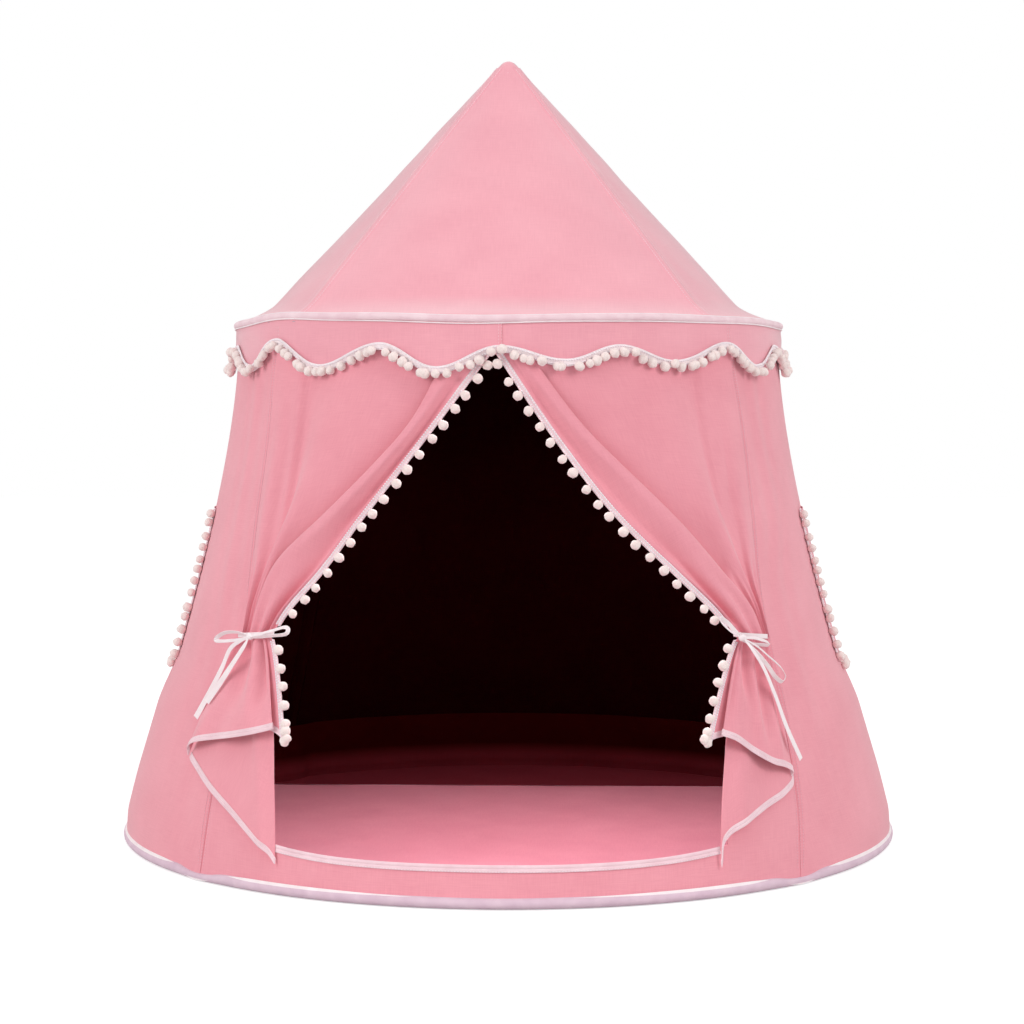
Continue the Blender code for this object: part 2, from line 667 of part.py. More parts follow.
def pole_set(corner, azimuth):
    """The poles, eave connector, foot cup and sleeve at one corner."""
    side = around(azimuth)
    slope = unit(np.array([RIDGE_SLOPE, -1.0]))
    roof_mouth = CORNER_RADIUS - SOCKET_LENGTH * slope[0]
    roof_end = CORNER_RADIUS - (SOCKET_LENGTH - SOCKET_DEPTH) * slope[0]
    wall_mouth = CORNER_HEIGHT - SOCKET_LENGTH
    wall_end = CORNER_HEIGHT - (SOCKET_LENGTH - SOCKET_DEPTH)

    start = HUB_SOCKET_START + GAP
    roof = roof_pole_path(azimuth, start, roof_end - GAP)
    shape = loft(rings_along(roof, side, POLE_RADIUS))
    mesh_object("roof_pole_" + corner, *shape, GLASS_FIBRE, 0.4)
    levels = cup_levels()
    heights = levels + [mix(levels[-1], POLE_RUN_IN, step / 3) for step in (1, 2, 3)]
    heights += [height for height in STATIONS if POLE_RUN_IN < height < wall_mouth]
    heights += [wall_mouth, wall_end - GAP]
    wall = [place(azimuth, wall_pole_radius(height), height) for height in heights]
    shape = loft(rings_along(wall, side, POLE_RADIUS))
    mesh_object("wall_pole_" + corner, *shape, GLASS_FIBRE, 0.4)

    roof_bore = roof_pole_path(azimuth, roof_mouth, roof_end)
    wall_bore = [place(azimuth, wall_pole_radius(height), height)
                 for height in (wall_end, wall_mouth)]
    bend = place(azimuth, CORNER_RADIUS, CORNER_HEIGHT)
    elbow = [roof_bore[0], bend, wall_bore[1]]
    rings = rings_along(roof_bore, side, SOCKET_BORE)[::-1]
    rings += rings_along(elbow, side, SOCKET_RADIUS)
    rings += rings_along(wall_bore, side, SOCKET_BORE)[::-1]
    mesh_object("eave_connector_" + corner, *loft(rings), MOULDING, 0.45)

    out = outward(azimuth)
    floor = CLOTH + GAP

    def cup_ring(height, radius):
        centre = place(azimuth, wall_pole_radius(max(height, POLE_FOOT)), height)
        return ring_about(centre, out, side, radius / FLAT_OF_EIGHT)

    rings = [cup_ring(floor, SOCKET_RADIUS)] + [cup_ring(level, SOCKET_RADIUS) for level in levels]
    rings += [cup_ring(level, SOCKET_BORE) for level in reversed(levels)]
    rings.append(cup_ring(floor + FOOT_CUP_FLOOR, SOCKET_BORE))
    mesh_object("foot_cup_" + corner, *loft(rings), MOULDING, 0.45)
    pole_sleeve(corner, azimuth)


def pole_sleeve(corner, azimuth):
    """A strip of cloth sewn inside the seam, which holds the wall pole in a channel."""
    side, out = around(azimuth), outward(azimuth)
    inner = POLE_RADIUS + 2 * GAP
    outer = inner + SLEEVE_CLOTH
    wide = outer + SLEEVE_FLANGE
    slant = math.tan(math.radians(WALL_STEP / 2))

    def face(along):
        """How far out from the pole's line the wall panels' inner faces lie, beside the seam."""
        return WALL_POLE_INSET - CLOTH - GAP - slant * along

    arc = [math.pi * step / 4 for step in range(5)]
    section = [(-wide, face(wide)), (-wide, face(wide) - SLEEVE_CLOTH)]
    section += [(-outer, face(outer) - SLEEVE_CLOTH)]
    section += [(-outer * math.cos(turn), -outer * math.sin(turn)) for turn in arc]
    section += [(outer, face(outer) - SLEEVE_CLOTH), (wide, face(wide) - SLEEVE_CLOTH)]
    section += [(wide, face(wide)), (inner, face(inner))]
    section += [(inner * math.cos(turn), -inner * math.sin(turn)) for turn in arc]
    section += [(-inner, face(inner))]
    rings = []
    top = WALL_TOP - SLEEVE_TOP_MARGIN
    for height in [POLE_RUN_IN, *(height for height in STATIONS if POLE_RUN_IN < height < top), top]:
        centre = place(azimuth, wall_pole_radius(height), height)
        rings.append([centre + side * along + out * away for along, away in section])
    mesh_object("pole_sleeve_" + corner, *loft(rings), PINK)


def valance_edge(azimuth):
    """The scalloped line where the valance cloth ends and its tape begins."""
    wave = math.cos(math.radians(azimuth * SCALLOPS))
    return EAVE_HEIGHT - VALANCE_PEAK_DROP - SCALLOP_DEPTH * (1 - wave) / 2


def valance():
    steps = 4 * SCALLOPS
    azimuths = [360 * step / steps for step in range(steps)]
    grids = [[[on_wall(azimuth, top(azimuth), VALANCE_STANDOFF + out) for azimuth in azimuths]
              for top in (lambda azimuth: WALL_TOP, valance_edge)] for out in (CLOTH, 0)]
    mesh_object("valance", *slab(*grids, wrap=True), PINK)
    middle = VALANCE_STANDOFF + CLOTH + GAP + TAPE_THICKNESS / 2
    fine = [360 * step / (4 * steps) for step in range(4 * steps)]
    edge = [on_wall(azimuth, valance_edge(azimuth), middle) for azimuth in fine]
    normals = [wall_normal(azimuth, valance_edge(azimuth)) for azimuth in fine]
    down = np.array([0.0, 0.0, -1.0])
    pompom_tape("valance_trim", edge, normals, down, POMPOM_PITCH / 2, TAPE_LAP,
                VALANCE_POMPOM_PROUD, True)


def bunch_edges():
    """Azimuths of the outer and the inner side of the gathered curtain at its tie."""
    half = math.degrees(BUNCH_WIDTH / 2 / wall_radius(TIE_HEIGHT))
    return TIE_AZIMUTH + half, TIE_AZIMUTH - half


def curtain_point(share, drop, out):
    """A point of the right curtain: share 0 at the corner to 1 at the free edge, drop 0 at the top,
    1 at the tie and 2 at the hem of the part that returns to the jamb."""
    outer_tie, inner_tie = bunch_edges()
    meeting = math.degrees(CURTAIN_MEETING_GAP / 2 / WALL_TOP_RADIUS)
    if drop <= 1:
        top = place(mix(panel_edge() - CORNER_MARGIN_ANGLE, meeting, share), WALL_TOP_RADIUS, WALL_TOP)
        tie = place(mix(outer_tie, inner_tie, share), wall_radius(TIE_HEIGHT), TIE_HEIGHT)
        straight = mix(top, tie, drop)
        height = straight[2]
        azimuth = math.degrees(math.atan2(straight[0], -straight[1]))
        level = math.hypot(straight[0], straight[1])
        slack = ramp(drop, HANG_START) * (1 - ramp(drop, HANG_END))
        hug = 1 - ramp(share, HANG_ACROSS) * slack
        radius = mix(min(level, wall_radius(height)), wall_radius(height), hug)
    else:
        below = drop - 1
        fold = (RETURN_FOLD_AZIMUTH, RETURN_FOLD_HEIGHT)
        tip = (jamb_azimuth(RETURN_HEM_TIP_HEIGHT) + JAMB_MARGIN_ANGLE, RETURN_HEM_TIP_HEIGHT)
        azimuth = mix(mix(outer_tie, inner_tie, share), mix(fold[0], tip[0], share), below)
        height = mix(TIE_HEIGHT, mix(fold[1], tip[1], share), below)
        radius = wall_radius(height)
    gather = ramp(drop, FOLDS_START) * (1 - ramp(drop, FOLDS_END))
    bunched = ramp(drop, BUNCH_START) * (1 - ramp(drop, BUNCH_END))
    stand = mix(CURTAIN_STANDOFF, BUNCH_STANDOFF, bunched)
    wave = 0.5 - 0.5 * math.cos(2 * math.pi * CURTAIN_FOLDS * share)
    return place(azimuth, radius + stand + FOLD_DEPTH * gather * wave + out, height)


def mirrored(points, sign):
    """Points of the right side, taken over to the left where sign is -1."""
    return np.array(points) * np.array([sign, 1.0, 1.0])


def normals_of(points):
    """Outward level directions at points."""
    level = np.array(points) * np.array([1.0, 1.0, 0.0])
    return unit(level)


def curtain(side, sign):
    columns, upper, lower = 5 * CURTAIN_FOLDS, 9, 5
    drops = [row / upper for row in range(upper + 1)]
    drops += [1 + row / lower for row in range(1, lower + 1)]
    shares = [column / columns for column in range(columns + 1)]
    grids = [mirrored([[curtain_point(share, drop, out) for share in shares] for drop in drops], sign)
             for out in (CURTAIN_CLOTH, 0)]
    mesh_object("curtain_" + side, *slab(*grids), PINK)
    drops = [TRIM_START, *(drop for drop in drops if TRIM_START < drop < TRIM_END), TRIM_END]
    edge = mirrored([curtain_point(1, drop, CURTAIN_CLOTH / 2) for drop in drops], sign)
    inward = np.array([-sign, 0.0, -0.3])
    pompom_tape("curtain_trim_" + side, edge, normals_of(edge), inward, TRIM_END_MARGIN)


def band_front():
    """How far the outer face of the tie band stands out from the wall."""
    return BUNCH_STANDOFF + FOLD_DEPTH + CURTAIN_CLOTH + BAND_CLEARANCE + BAND_THICKNESS


def tie_band(side, sign):
    """A ribbon round the gathered curtain."""
    outer_tie, inner_tie = bunch_edges()
    back = BUNCH_STANDOFF - BAND_CLEARANCE - BAND_THICKNESS
    front = band_front()
    middle = (back + front) / 2
    deep = (front - back) / 2
    wide = BUNCH_WIDTH / 2 + BAND_SIDE_CLEARANCE + BAND_THICKNESS
    azimuth = (outer_tie + inner_tie) / 2
    rings = []
    steps = 16
    for step in range(steps):
        turn = 2 * math.pi * (step + 0.5) / steps
        along, away = (math.copysign(abs(value) ** BAND_ROUNDNESS, value)
                       for value in (math.cos(turn), math.sin(turn)))
        ring = []
        for inset, height in ((0, -1), (0, 1), (BAND_THICKNESS, 1), (BAND_THICKNESS, -1)):
            level = TIE_HEIGHT + height * BAND_HEIGHT / 2
            turned = azimuth + math.degrees(along * (wide - inset) / wall_radius(TIE_HEIGHT))
            ring.append(on_wall(turned, level, middle + away * (deep - inset)))
        rings.append(ring)
    points, faces = loft(rings, closed=True)
    mesh_object("tie_band_" + side, mirrored(points, sign), faces, WHITE)


def knot_distance():
    """How far the knot's middle, on the lift axis of the tail, stands out from the wall."""
    return band_front() + GAP + KNOT_RADIUS


def ribbon(points, across):
    """A flat ribbon along points, its width along across."""
    points = np.array(points)
    lift = unit(np.cross(unit(np.gradient(points, axis=0)), across)) * RIBBON_THICKNESS / 2
    half = across * RIBBON_WIDTH / 2
    return slab([points - half + lift, points + half + lift], [points - half - lift, points + half - lift])


def loop_of_ribbon(centre, reach, fall, out):
    """A teardrop of ribbon that leaves the knot and comes back to it."""
    steps = 8
    rise = np.array([0.0, 0.0, BOW_LOOP_HEIGHT / 2])
    points = []
    for step in range(steps + 1):
        turn = math.pi * mix(BOW_LOOP_TUCK, 1 - BOW_LOOP_TUCK, step / steps)
        swell = math.cos(turn) * (2 * math.sin(turn) + BOW_LOOP_GAPE)
        points.append(centre + (reach + fall) * math.sin(turn) + rise * swell)
    return ribbon(points, out)


def bow(side, sign):
    """The knot on the lift axis, with two loops and two ends."""
    out, along = outward(TIE_AZIMUTH), around(TIE_AZIMUTH)
    down = np.array([0.0, 0.0, -1.0])
    axis = on_wall(TIE_AZIMUTH, TIE_HEIGHT, knot_distance())
    path = [axis + along * KNOT_LENGTH * share for share in (-0.5, -0.3, 0.3, 0.5)]
    radii = [KNOT_RADIUS * share for share in (0.6, 1.0, 1.0, 0.6)]
    knot = loft([ring_about(at, out, down, radius) for at, radius in zip(path, radii)])
    shapes = [knot]
    for way, fall in BOW_LOOPS:
        reach = along * BOW_LOOP_LENGTH * way
        shapes.append(loop_of_ribbon(axis + out * RIBBON_WIDTH / 2, reach, down * fall, out))
    clear = TAIL_STANDOFF + TAIL_BULGE + CURTAIN_CLOTH + RIBBON_WIDTH / 2
    for lean, length in BOW_ENDS:
        route = []
        for share in (0, 0.2, 0.4, 0.6, 0.8, 1.0):
            stand = mix(knot_distance(), clear, ramp(share, BOW_END_DROP))
            route.append(on_wall(TIE_AZIMUTH + lean * share, TIE_HEIGHT - length * share, stand))
        reach = route[-1] - route[0]
        shapes.append(ribbon(route, unit(np.cross(reach, out))))
    turned = [(mirrored(points, sign), faces) for points, faces in shapes]
    return united("bow_" + side, turned, WHITE)


def tail_point(share, drop, out):
    """A point of the right tail, which hangs in front from the tie: share 0 at the fold, 1 at the
    free edge."""
    outer_tie, inner_tie = bunch_edges()
    start = TIE_HEIGHT - BAND_HEIGHT / 2 - 2 * GAP
    hem = mix(TAIL_HEM_HEIGHT - TAIL_HEM_DROP, TAIL_HEM_HEIGHT, share)
    height = mix(start, hem, drop)
    top = mix(outer_tie, inner_tie, share)
    foot = mix(TAIL_FOLD_AZIMUTH, TAIL_FREE_AZIMUTH, share)
    azimuth = mix(top, foot, drop ** TAIL_SPREAD)
    wave = 0.5 - 0.5 * math.cos(2 * math.pi * TAIL_FOLDS * share)
    swell = mix(math.sin(math.pi * share), wave, TAIL_FOLD_SHARE)
    front = band_front() - BAND_THICKNESS
    stand = mix(front, TAIL_STANDOFF + TAIL_BULGE * swell, ramp(drop, TAIL_SWELLS))
    return place(azimuth, wall_radius(height) + stand + out, height)


def tail(side, sign):
    """The front of the curtain below its tie."""
    columns, rows = 12, 6
    shares = [column / columns for column in range(columns + 1)]
    drops = [row / rows for row in range(rows + 1)]
    grids = [mirrored([[tail_point(share, drop, out) for share in shares] for drop in drops], sign)
             for out in (CURTAIN_CLOTH, 0)]
    cloth = mesh_object("curtain_tail_" + side, *slab(*grids), PINK)
    edge = mirrored([tail_point(1, mix(TAIL_TRIM_START, 1.0, drop), CURTAIN_CLOTH / 2)
                     for drop in drops], sign)
    inward = np.array([-sign, 0.0, 0.0])
    trim = pompom_tape("tail_trim_" + side, edge, normals_of(edge), inward, TAIL_TRIM_MARGIN)
    pivot = mirrored([on_wall(TIE_AZIMUTH, TIE_HEIGHT, knot_distance())], sign)[0]
    hang("curtain_tail_lift_" + side, pivot, (cloth, trim, bow(side, sign)))


def flap_frame():
    """The middle of the flap's hinge line, and of its lower edge, on the right side."""
    top = WINDOW_BOTTOM + WINDOW_HEIGHT + FLAP_TOP_MARGIN
    foot = WINDOW_BOTTOM - FLAP_FOOT_MARGIN
    over_binding = GAP + TAPE_THICKNESS
    start = np.array([wall_radius(top) + over_binding - FLAP_SEAM_TUCK, 0.0, top])
    end = np.array([wall_radius(foot) + over_binding + FLAP_FOOT_CLEARANCE, 0.0, foot])
    return start, end


def window_flap(side, sign):
    """A flat flap that hangs over the window from its sewn top edge, with trim on the other three."""
    start, end = flap_frame()
    hand = np.array([0.0, 1.0, 0.0])
    down = unit(end - start)
    lift = np.cross(hand, down)
    lift = lift * np.sign(lift[0])
    corner = end - hand * FLAP_HALF_WIDTH
    turns = [math.pi / 2 * step / 3 for step in range(4)]
    half = [start - hand * FLAP_HALF_WIDTH]
    half += [corner + FLAP_CORNER * (hand * (1 - math.cos(turn)) - down * (1 - math.sin(turn)))
             for turn in turns]
    half = np.array(half)
    outline = np.concatenate([half, half[::-1] * np.array([1.0, -1.0, 1.0])])
    rings = [mirrored(outline + lift * out, sign) for out in (0, CLOTH)]
    cloth = mesh_object("window_flap_" + side, *loft(rings), PINK)
    route = outline + lift * (CLOTH + GAP + TAPE_THICKNESS / 2)
    route[0] += down * TAPE_WIDTH
    route[-1] += down * TAPE_WIDTH
    route = mirrored(route, sign)
    normals = np.tile(mirrored([lift], sign)[0], (len(route), 1))
    middle = mirrored([(start + end) / 2], sign)[0]
    trim = pompom_tape("window_flap_trim_" + side, route, normals, route - middle, FLAP_TRIM_MARGIN,
                       TAPE_LAP, FLAP_POMPOM_PROUD)
    hang("window_flap_hinge_" + side, mirrored([start + lift * CLOTH], sign)[0], (cloth, trim))


def build():
    for leftover in list(bpy.data.objects):
        bpy.data.objects.remove(leftover)
    hoop_set("eave", EAVE_CASING_CENTRE, EAVE_HEIGHT, EAVE_CASING_RADIUS, EAVE_HOOP_RADIUS, PALE_PINK)
    hoop_set("base", BASE_CASING_CENTRE, BASE_CASING_HEIGHT, BASE_CASING_RADIUS, BASE_HOOP_RADIUS, LAVENDER)
    for name, azimuth in (("front", 0), ("right", 90), ("back", 180), ("left", -90)):
        roof_panel("roof_panel_" + name, azimuth)
    plain_wall("wall_panel_back", 180)
    window_wall("right", 90)
    window_wall("left", -90)
    door_surround()
    door_sill_binding()
    groundsheet()
    apex_cap()
    apex_hub()
    for corner, azimuth in POLE_AZIMUTHS.items():
        pole_set(corner, azimuth)
    valance()
    for side, sign in (("right", 1.0), ("left", -1.0)):
        curtain(side, sign)
        tie_band(side, sign)
        tail(side, sign)
        window_flap(side, sign)


build()
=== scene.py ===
"""Looks of a round castle play tent: its cloth, tape, pompoms, bows and fittings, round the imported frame.

Metres, +Z up, door towards -Y. An azimuth is in degrees from the door towards +X, and a place on the
cloth is an azimuth, a height and how far it stands out. Left is -X, on the left of the photograph.
"""

import math

import bpy
import numpy as np
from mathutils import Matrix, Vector


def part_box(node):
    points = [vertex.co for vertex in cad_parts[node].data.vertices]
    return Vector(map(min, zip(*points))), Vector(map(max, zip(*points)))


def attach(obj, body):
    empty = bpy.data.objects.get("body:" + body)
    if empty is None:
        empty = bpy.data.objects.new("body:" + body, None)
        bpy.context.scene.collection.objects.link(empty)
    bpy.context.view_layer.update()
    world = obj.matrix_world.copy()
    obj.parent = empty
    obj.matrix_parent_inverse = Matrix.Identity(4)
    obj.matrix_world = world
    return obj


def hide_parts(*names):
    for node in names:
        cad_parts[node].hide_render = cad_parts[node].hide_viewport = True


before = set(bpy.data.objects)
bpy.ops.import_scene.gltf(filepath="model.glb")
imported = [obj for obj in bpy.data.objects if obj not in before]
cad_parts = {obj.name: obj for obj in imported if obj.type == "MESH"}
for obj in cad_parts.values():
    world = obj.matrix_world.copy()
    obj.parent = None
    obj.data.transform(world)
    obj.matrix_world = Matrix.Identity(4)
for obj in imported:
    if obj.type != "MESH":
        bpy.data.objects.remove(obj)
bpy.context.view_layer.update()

# Sizes read from the frame
BASE_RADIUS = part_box("base_casing")[1].x
EAVE_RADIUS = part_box("eave_casing")[1].x
EAVE_HEIGHT = (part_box("eave_casing")[0].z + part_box("eave_casing")[1].z) / 2
WALL_FOOT, WALL_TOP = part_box("wall_panel_back")[0].z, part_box("wall_panel_back")[1].z
WALL_FOOT_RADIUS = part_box("wall_panel_back")[1].y
CAP_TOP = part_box("apex_cap")[1].z
CAP_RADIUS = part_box("apex_cap")[1].x
FLAP_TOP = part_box("window_flap_right")[1].z
FLAP_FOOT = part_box("window_flap_right")[0].z
GROUNDSHEET_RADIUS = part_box("groundsheet")[1].x

# Sizes that the construction also has, in metres and degrees
WALL_TOP_RADIUS = 0.42275
WALL_FLARE = 0.65
PEAK_HEIGHT = 1.216
RIDGE_STEEPNESS = 0.985
ROOF_DISHING = 0.055
RIGHT_GORE_DISHING = 0.073
ROOF_FLARE_HEIGHT = 0.030
EAVE_SEAM_INSET = 0.0055
TIE_HEIGHT = 0.336
SILL_HEIGHT = 0.060
HEADER_FOOT = 0.736
WINDOW_BOTTOM, WINDOW_TOP, WINDOW_HALF_ANGLE = 0.300, 0.480, 10.0
FLAP_HALF_WIDTH = 0.100
BACK_SEAM = 135.0
POMPOM_RADIUS = 0.0070

# Sizes of the looks alone
CLOTH = 0.0008
TAPE = 0.0010
CREASE_ANGLE = 50.0
EAVE_PIPE_RADIUS = 0.0052
BASE_PIPE_RADIUS = 0.0076
# Rounded figures that turn angles into metres along the cloth
VALANCE_RADIUS = 0.43
WALL_METRES_PER_DEGREE = 0.0083

# Where the photograph shows the seams between the front and side walls: heights and azimuths
SEAM_HEIGHTS = (0.0, 0.12, 0.25, 0.35, 0.41, 0.50, 0.61, 0.72, 0.785)
SEAM_AZIMUTHS = {
    "left": (44.4, 46.4, 46.8, 47.0, 48.5, 50.4, 51.2, 51.6, 50.2),
    "right": (44.4, 48.2, 49.4, 49.2, 49.6, 51.7, 52.9, 51.9, 49.8),
}
SIDES = (("left", -1.0), ("right", 1.0))


def smooth(share):
    share = np.clip(share, 0.0, 1.0)
    return share * share * (3 - 2 * share)


def mix(start, end, share):
    return start + (end - start) * share


def unit(vectors):
    return vectors / np.maximum(np.linalg.norm(vectors, axis=-1, keepdims=True), 1e-12)


def outward(points):
    """Level directions away from the tent's axis."""
    return unit(points * np.array([1.0, 1.0, 0.0]))


def tangents_of(path):
    return unit(np.gradient(path, axis=0))


def beside(line, normals, towards):
    """Directions across a line that lies on a surface, on the side that is asked for."""
    away = unit(np.cross(tangents_of(line), normals))
    return away * np.sign(np.sum(away * towards, axis=1, keepdims=True))


def reach_of(path):
    """The distance along a path of each of its points."""
    return np.concatenate([[0], np.cumsum(np.linalg.norm(np.diff(path, axis=0), axis=1))])


def through(xs, ys, x):
    """A smooth curve through a few points, read at x. The points' values may be arrays."""
    xs, ys, x = np.asarray(xs, float), np.asarray(ys, float), np.asarray(x, float)
    slopes = np.gradient(ys, xs, axis=0)
    x = np.clip(x, xs[0], xs[-1])
    low = np.clip(np.searchsorted(xs, x, side="right") - 1, 0, len(xs) - 2)
    step = (xs[low + 1] - xs[low]).reshape(x.shape + (1,) * (ys.ndim - 1))
    share = (x - xs[low]).reshape(step.shape) / step
    square, cube = share ** 2, share ** 3
    return (ys[low] * (2 * cube - 3 * square + 1) + slopes[low] * step * (cube - 2 * square + share)
            + ys[low + 1] * (3 * square - 2 * cube) + slopes[low + 1] * step * (cube - square))


def place(azimuth, radius, height):
    turn = np.radians(azimuth)
    return np.stack(np.broadcast_arrays(radius * np.sin(turn), -radius * np.cos(turn), height), -1)


def wall_radius(height):
    """The outer face of the wall: nearly upright at the eave, flaring towards the base."""
    down = (WALL_TOP - np.minimum(height, WALL_TOP)) / (WALL_TOP - WALL_FOOT)
    share = down * down * (1 + WALL_FLARE) / (down + WALL_FLARE)
    return mix(WALL_TOP_RADIUS, WALL_FOOT_RADIUS, share)


def on_wall(azimuth, height, out=0.0):
    return place(azimuth, wall_radius(height) + out, height)


def seam_azimuth(side, height):
    return through(SEAM_HEIGHTS, SEAM_AZIMUTHS[side], height)


def ripple(u, v, size, seed, waves=9):
    """A smooth random field of about -1 to 1, whose bumps are about this many metres across."""
    draw = np.random.default_rng(seed)
    total = 0.0
    for _ in range(waves):
        turn, phase = draw.uniform(0, 2 * math.pi, 2)
        pitch = 2 * math.pi / size * draw.uniform(0.35, 1.0)
        total = total + np.sin((u * math.cos(turn) + v * math.sin(turn)) * pitch + phase)
    return total / math.sqrt(waves) / 1.4


# Finishes


def linear(colour):
    """An sRGB hex colour as linear RGBA."""
    values = [int(colour[start:start + 2], 16) / 255 for start in (1, 3, 5)]
    return (*[value / 12.92 if value <= 0.04045 else ((value + 0.055) / 1.055) ** 2.4 for value in values], 1)


def add(tree, kind, inputs=None, **settings):
    """Add a node with its settings, and set or link its inputs."""
    made = tree.nodes.new(kind)
    for name, value in settings.items():
        setattr(made, name, value)
    for key, value in (inputs or {}).items():
        if isinstance(value, bpy.types.NodeSocket):
            tree.links.new(value, made.inputs[key])
        else:
            made.inputs[key].default_value = value
    return made


def new_finish(name, roughness, **settings):
    """A material with its tree and shader; settings go on the shader's own sockets."""
    material = bpy.data.materials.new(name)
    material.use_nodes = True
    tree = material.node_tree
    shader = tree.nodes["Principled BSDF"]
    shader.inputs["Roughness"].default_value = roughness
    for key, value in settings.items():
        shader.inputs[key.replace("_", " ")].default_value = value
    return material, tree, shader


def own_place(tree):
    """The piece's own place in metres."""
    return add(tree, "ShaderNodeTexCoord").outputs["Object"]


def noise(tree, where, scale, detail):
    return add(tree, "ShaderNodeTexNoise", {"Vector": where, "Scale": scale, "Detail": detail}).outputs[0]


def bump(tree, shader, height, strength, distance):
    made = add(tree, "ShaderNodeBump", {"Height": height, "Strength": strength, "Distance": distance})
    tree.links.new(made.outputs[0], shader.inputs["Normal"])


def shade(tree, amount, dark, light, start=0.3, end=0.7):
    """Colour from a value: dark at its start and light at its end."""
    ramp = add(tree, "ShaderNodeValToRGB", {0: amount})
    ramp.color_ramp.elements[0].position, ramp.color_ramp.elements[1].position = start, end
    ramp.color_ramp.elements[0].color, ramp.color_ramp.elements[1].color = linear(dark), linear(light)
    return ramp.outputs[0]


def threads(tree, across, along):
    """Slubby yarns: noise drawn out along the warp, and along the weft, one yarn every few millimetres.

    The real yarns are about 0.3 mm apart, so they are drawn coarser than that, to show."""
    place_on = add(tree, "ShaderNodeUVMap", uv_map="UVMap").outputs[0]
    yarns = []
    for scale in ((across, along, 1), (along, across, 1)):
        drawn = add(tree, "ShaderNodeMapping", {"Vector": place_on, "Scale": scale})
        yarns.append(add(tree, "ShaderNodeTexNoise", {"Vector": drawn.outputs[0], "Scale": 1.0,
                                                      "Detail": 3.0, "Roughness": 0.6}).outputs[0])
    return add(tree, "ShaderNodeMath", {0: yarns[0], 1: yarns[1]}, operation="ADD").outputs[0]


def cloth_finish(name, dark, light, sheen=0.25, strength=0.35, gloss=0.25):
    """Plain woven polyester and cotton: matt, with a faint linen slub and a soft bloom at grazing angles."""
    material, tree, shader = new_finish(name, 0.85, Sheen_Weight=sheen, Sheen_Roughness=0.5,
                                        Specular_IOR_Level=gloss)
    yarn = threads(tree, 1 / 0.0016, 1 / 0.030)
    blotch = noise(tree, own_place(tree), 11.0, 2.0)
    blended = add(tree, "ShaderNodeMath", {0: yarn, 1: blotch}, operation="ADD").outputs[0]
    share = add(tree, "ShaderNodeMath", {0: blended, 1: 1 / 3}, operation="MULTIPLY").outputs[0]
    tree.links.new(shade(tree, share, dark, light, 0.36, 0.64), shader.inputs["Base Color"])
    bump(tree, shader, yarn, strength, 0.0006)
    return material


def tape_finish(name, dark, light, rib=0.0012):
    """Woven polyester tape, with cross ribs, a little soil and a slight sheen."""
    material, tree, shader = new_finish(name, 0.7, Sheen_Weight=0.2, Specular_IOR_Level=0.35)
    place_on = add(tree, "ShaderNodeUVMap", uv_map="UVMap").outputs[0]
    ribs = add(tree, "ShaderNodeTexWave", {"Vector": place_on, "Scale": 1 / rib / 2, "Distortion": 0.6,
                                           "Detail": 2.0, "Detail Scale": 2.0}, bands_direction="X")
    soil = noise(tree, own_place(tree), 45.0, 3.0)
    tree.links.new(shade(tree, soil, dark, light), shader.inputs["Base Color"])
    bump(tree, shader, ribs.outputs[1], 0.35, 0.0004)
    return material


def spotted_finish(name, dark, light, scale, roughness, strength, distance, **settings):
    """A finish whose colour and bump come from one noise on the piece's own place."""
    material, tree, shader = new_finish(name, roughness, **settings)
    grain = noise(tree, own_place(tree), scale, 4.0)
    tree.links.new(shade(tree, grain, dark, light), shader.inputs["Base Color"])
    bump(tree, shader, grain, strength, distance)
    return material


def painted_shade_upwards(material, colour, low, high):
    """Painted shade: the colour darkens with height, from none at the low level to full at the high one."""
    tree = material.node_tree
    base = tree.nodes["Principled BSDF"].inputs["Base Color"]
    level = add(tree, "ShaderNodeSeparateXYZ", {0: own_place(tree)}).outputs[2]
    share = add(tree, "ShaderNodeMapRange", {0: level, "From Min": low, "From Max": high}).outputs[0]
    mixed = add(tree, "ShaderNodeMix", {0: share, 6: base.links[0].from_socket, 7: linear(colour)},
                data_type="RGBA")
    tree.links.new(mixed.outputs[2], base)


# Pink outside; inside, painted shade: a lining coloured almost black, as the inside looks from the door
PINK = cloth_finish("pink_woven_polyester", "#e894a1", "#f2a2ae", sheen=0.4)
# Painted light: the same pink cloth coloured paler for the roof, apex cap and valance, which catch more light
# than the walls
PINK_PAINTED_LIGHTER = cloth_finish("pink_woven_polyester_painted_lighter", "#eb9caa", "#f5aab6", sheen=0.8)
FLOOR_PINK = cloth_finish("pink_groundsheet_cloth", "#eb97a8", "#f5a4b4", sheen=0.0, gloss=0.0)
LINING = cloth_finish("lining_painted_near_black_as_shade", "#170203", "#200405", sheen=0.0, gloss=0.0)
# Painted shade: the turned-up lining is maroon at its foot and darkens to near black with height, where less
# light reaches inside
TURN_UP = cloth_finish("turned_up_lining_painted_shade", "#76262f", "#823039", sheen=0.0, gloss=0.0)
painted_shade_upwards(TURN_UP, "#340707", 0.0, 0.044)
# Painted shade: the groundsheet behind its seam is coloured dark maroon for the shade at the back of the tent
FLOOR_LINING = cloth_finish("groundsheet_rear_painted_shade", "#742731", "#80303a", sheen=0.0, gloss=0.0)
# Tape and bindings
TAPE_WHITE = tape_finish("white_woven_tape", "#f8e8eb", "#fff5f7")
HEM_TAPE = tape_finish("blush_hem_tape", "#efcbd3", "#f8d9e0")
BRAID = tape_finish("braided_trim_ground", "#efcdd4", "#f8dce1")
PIPING = tape_finish("pale_satin_piping", "#f0ccd5", "#f9dde3", rib=0.0010)
LAVENDER = tape_finish("lavender_base_binding", "#dabccd", "#e6cbd9", rib=0.0010)
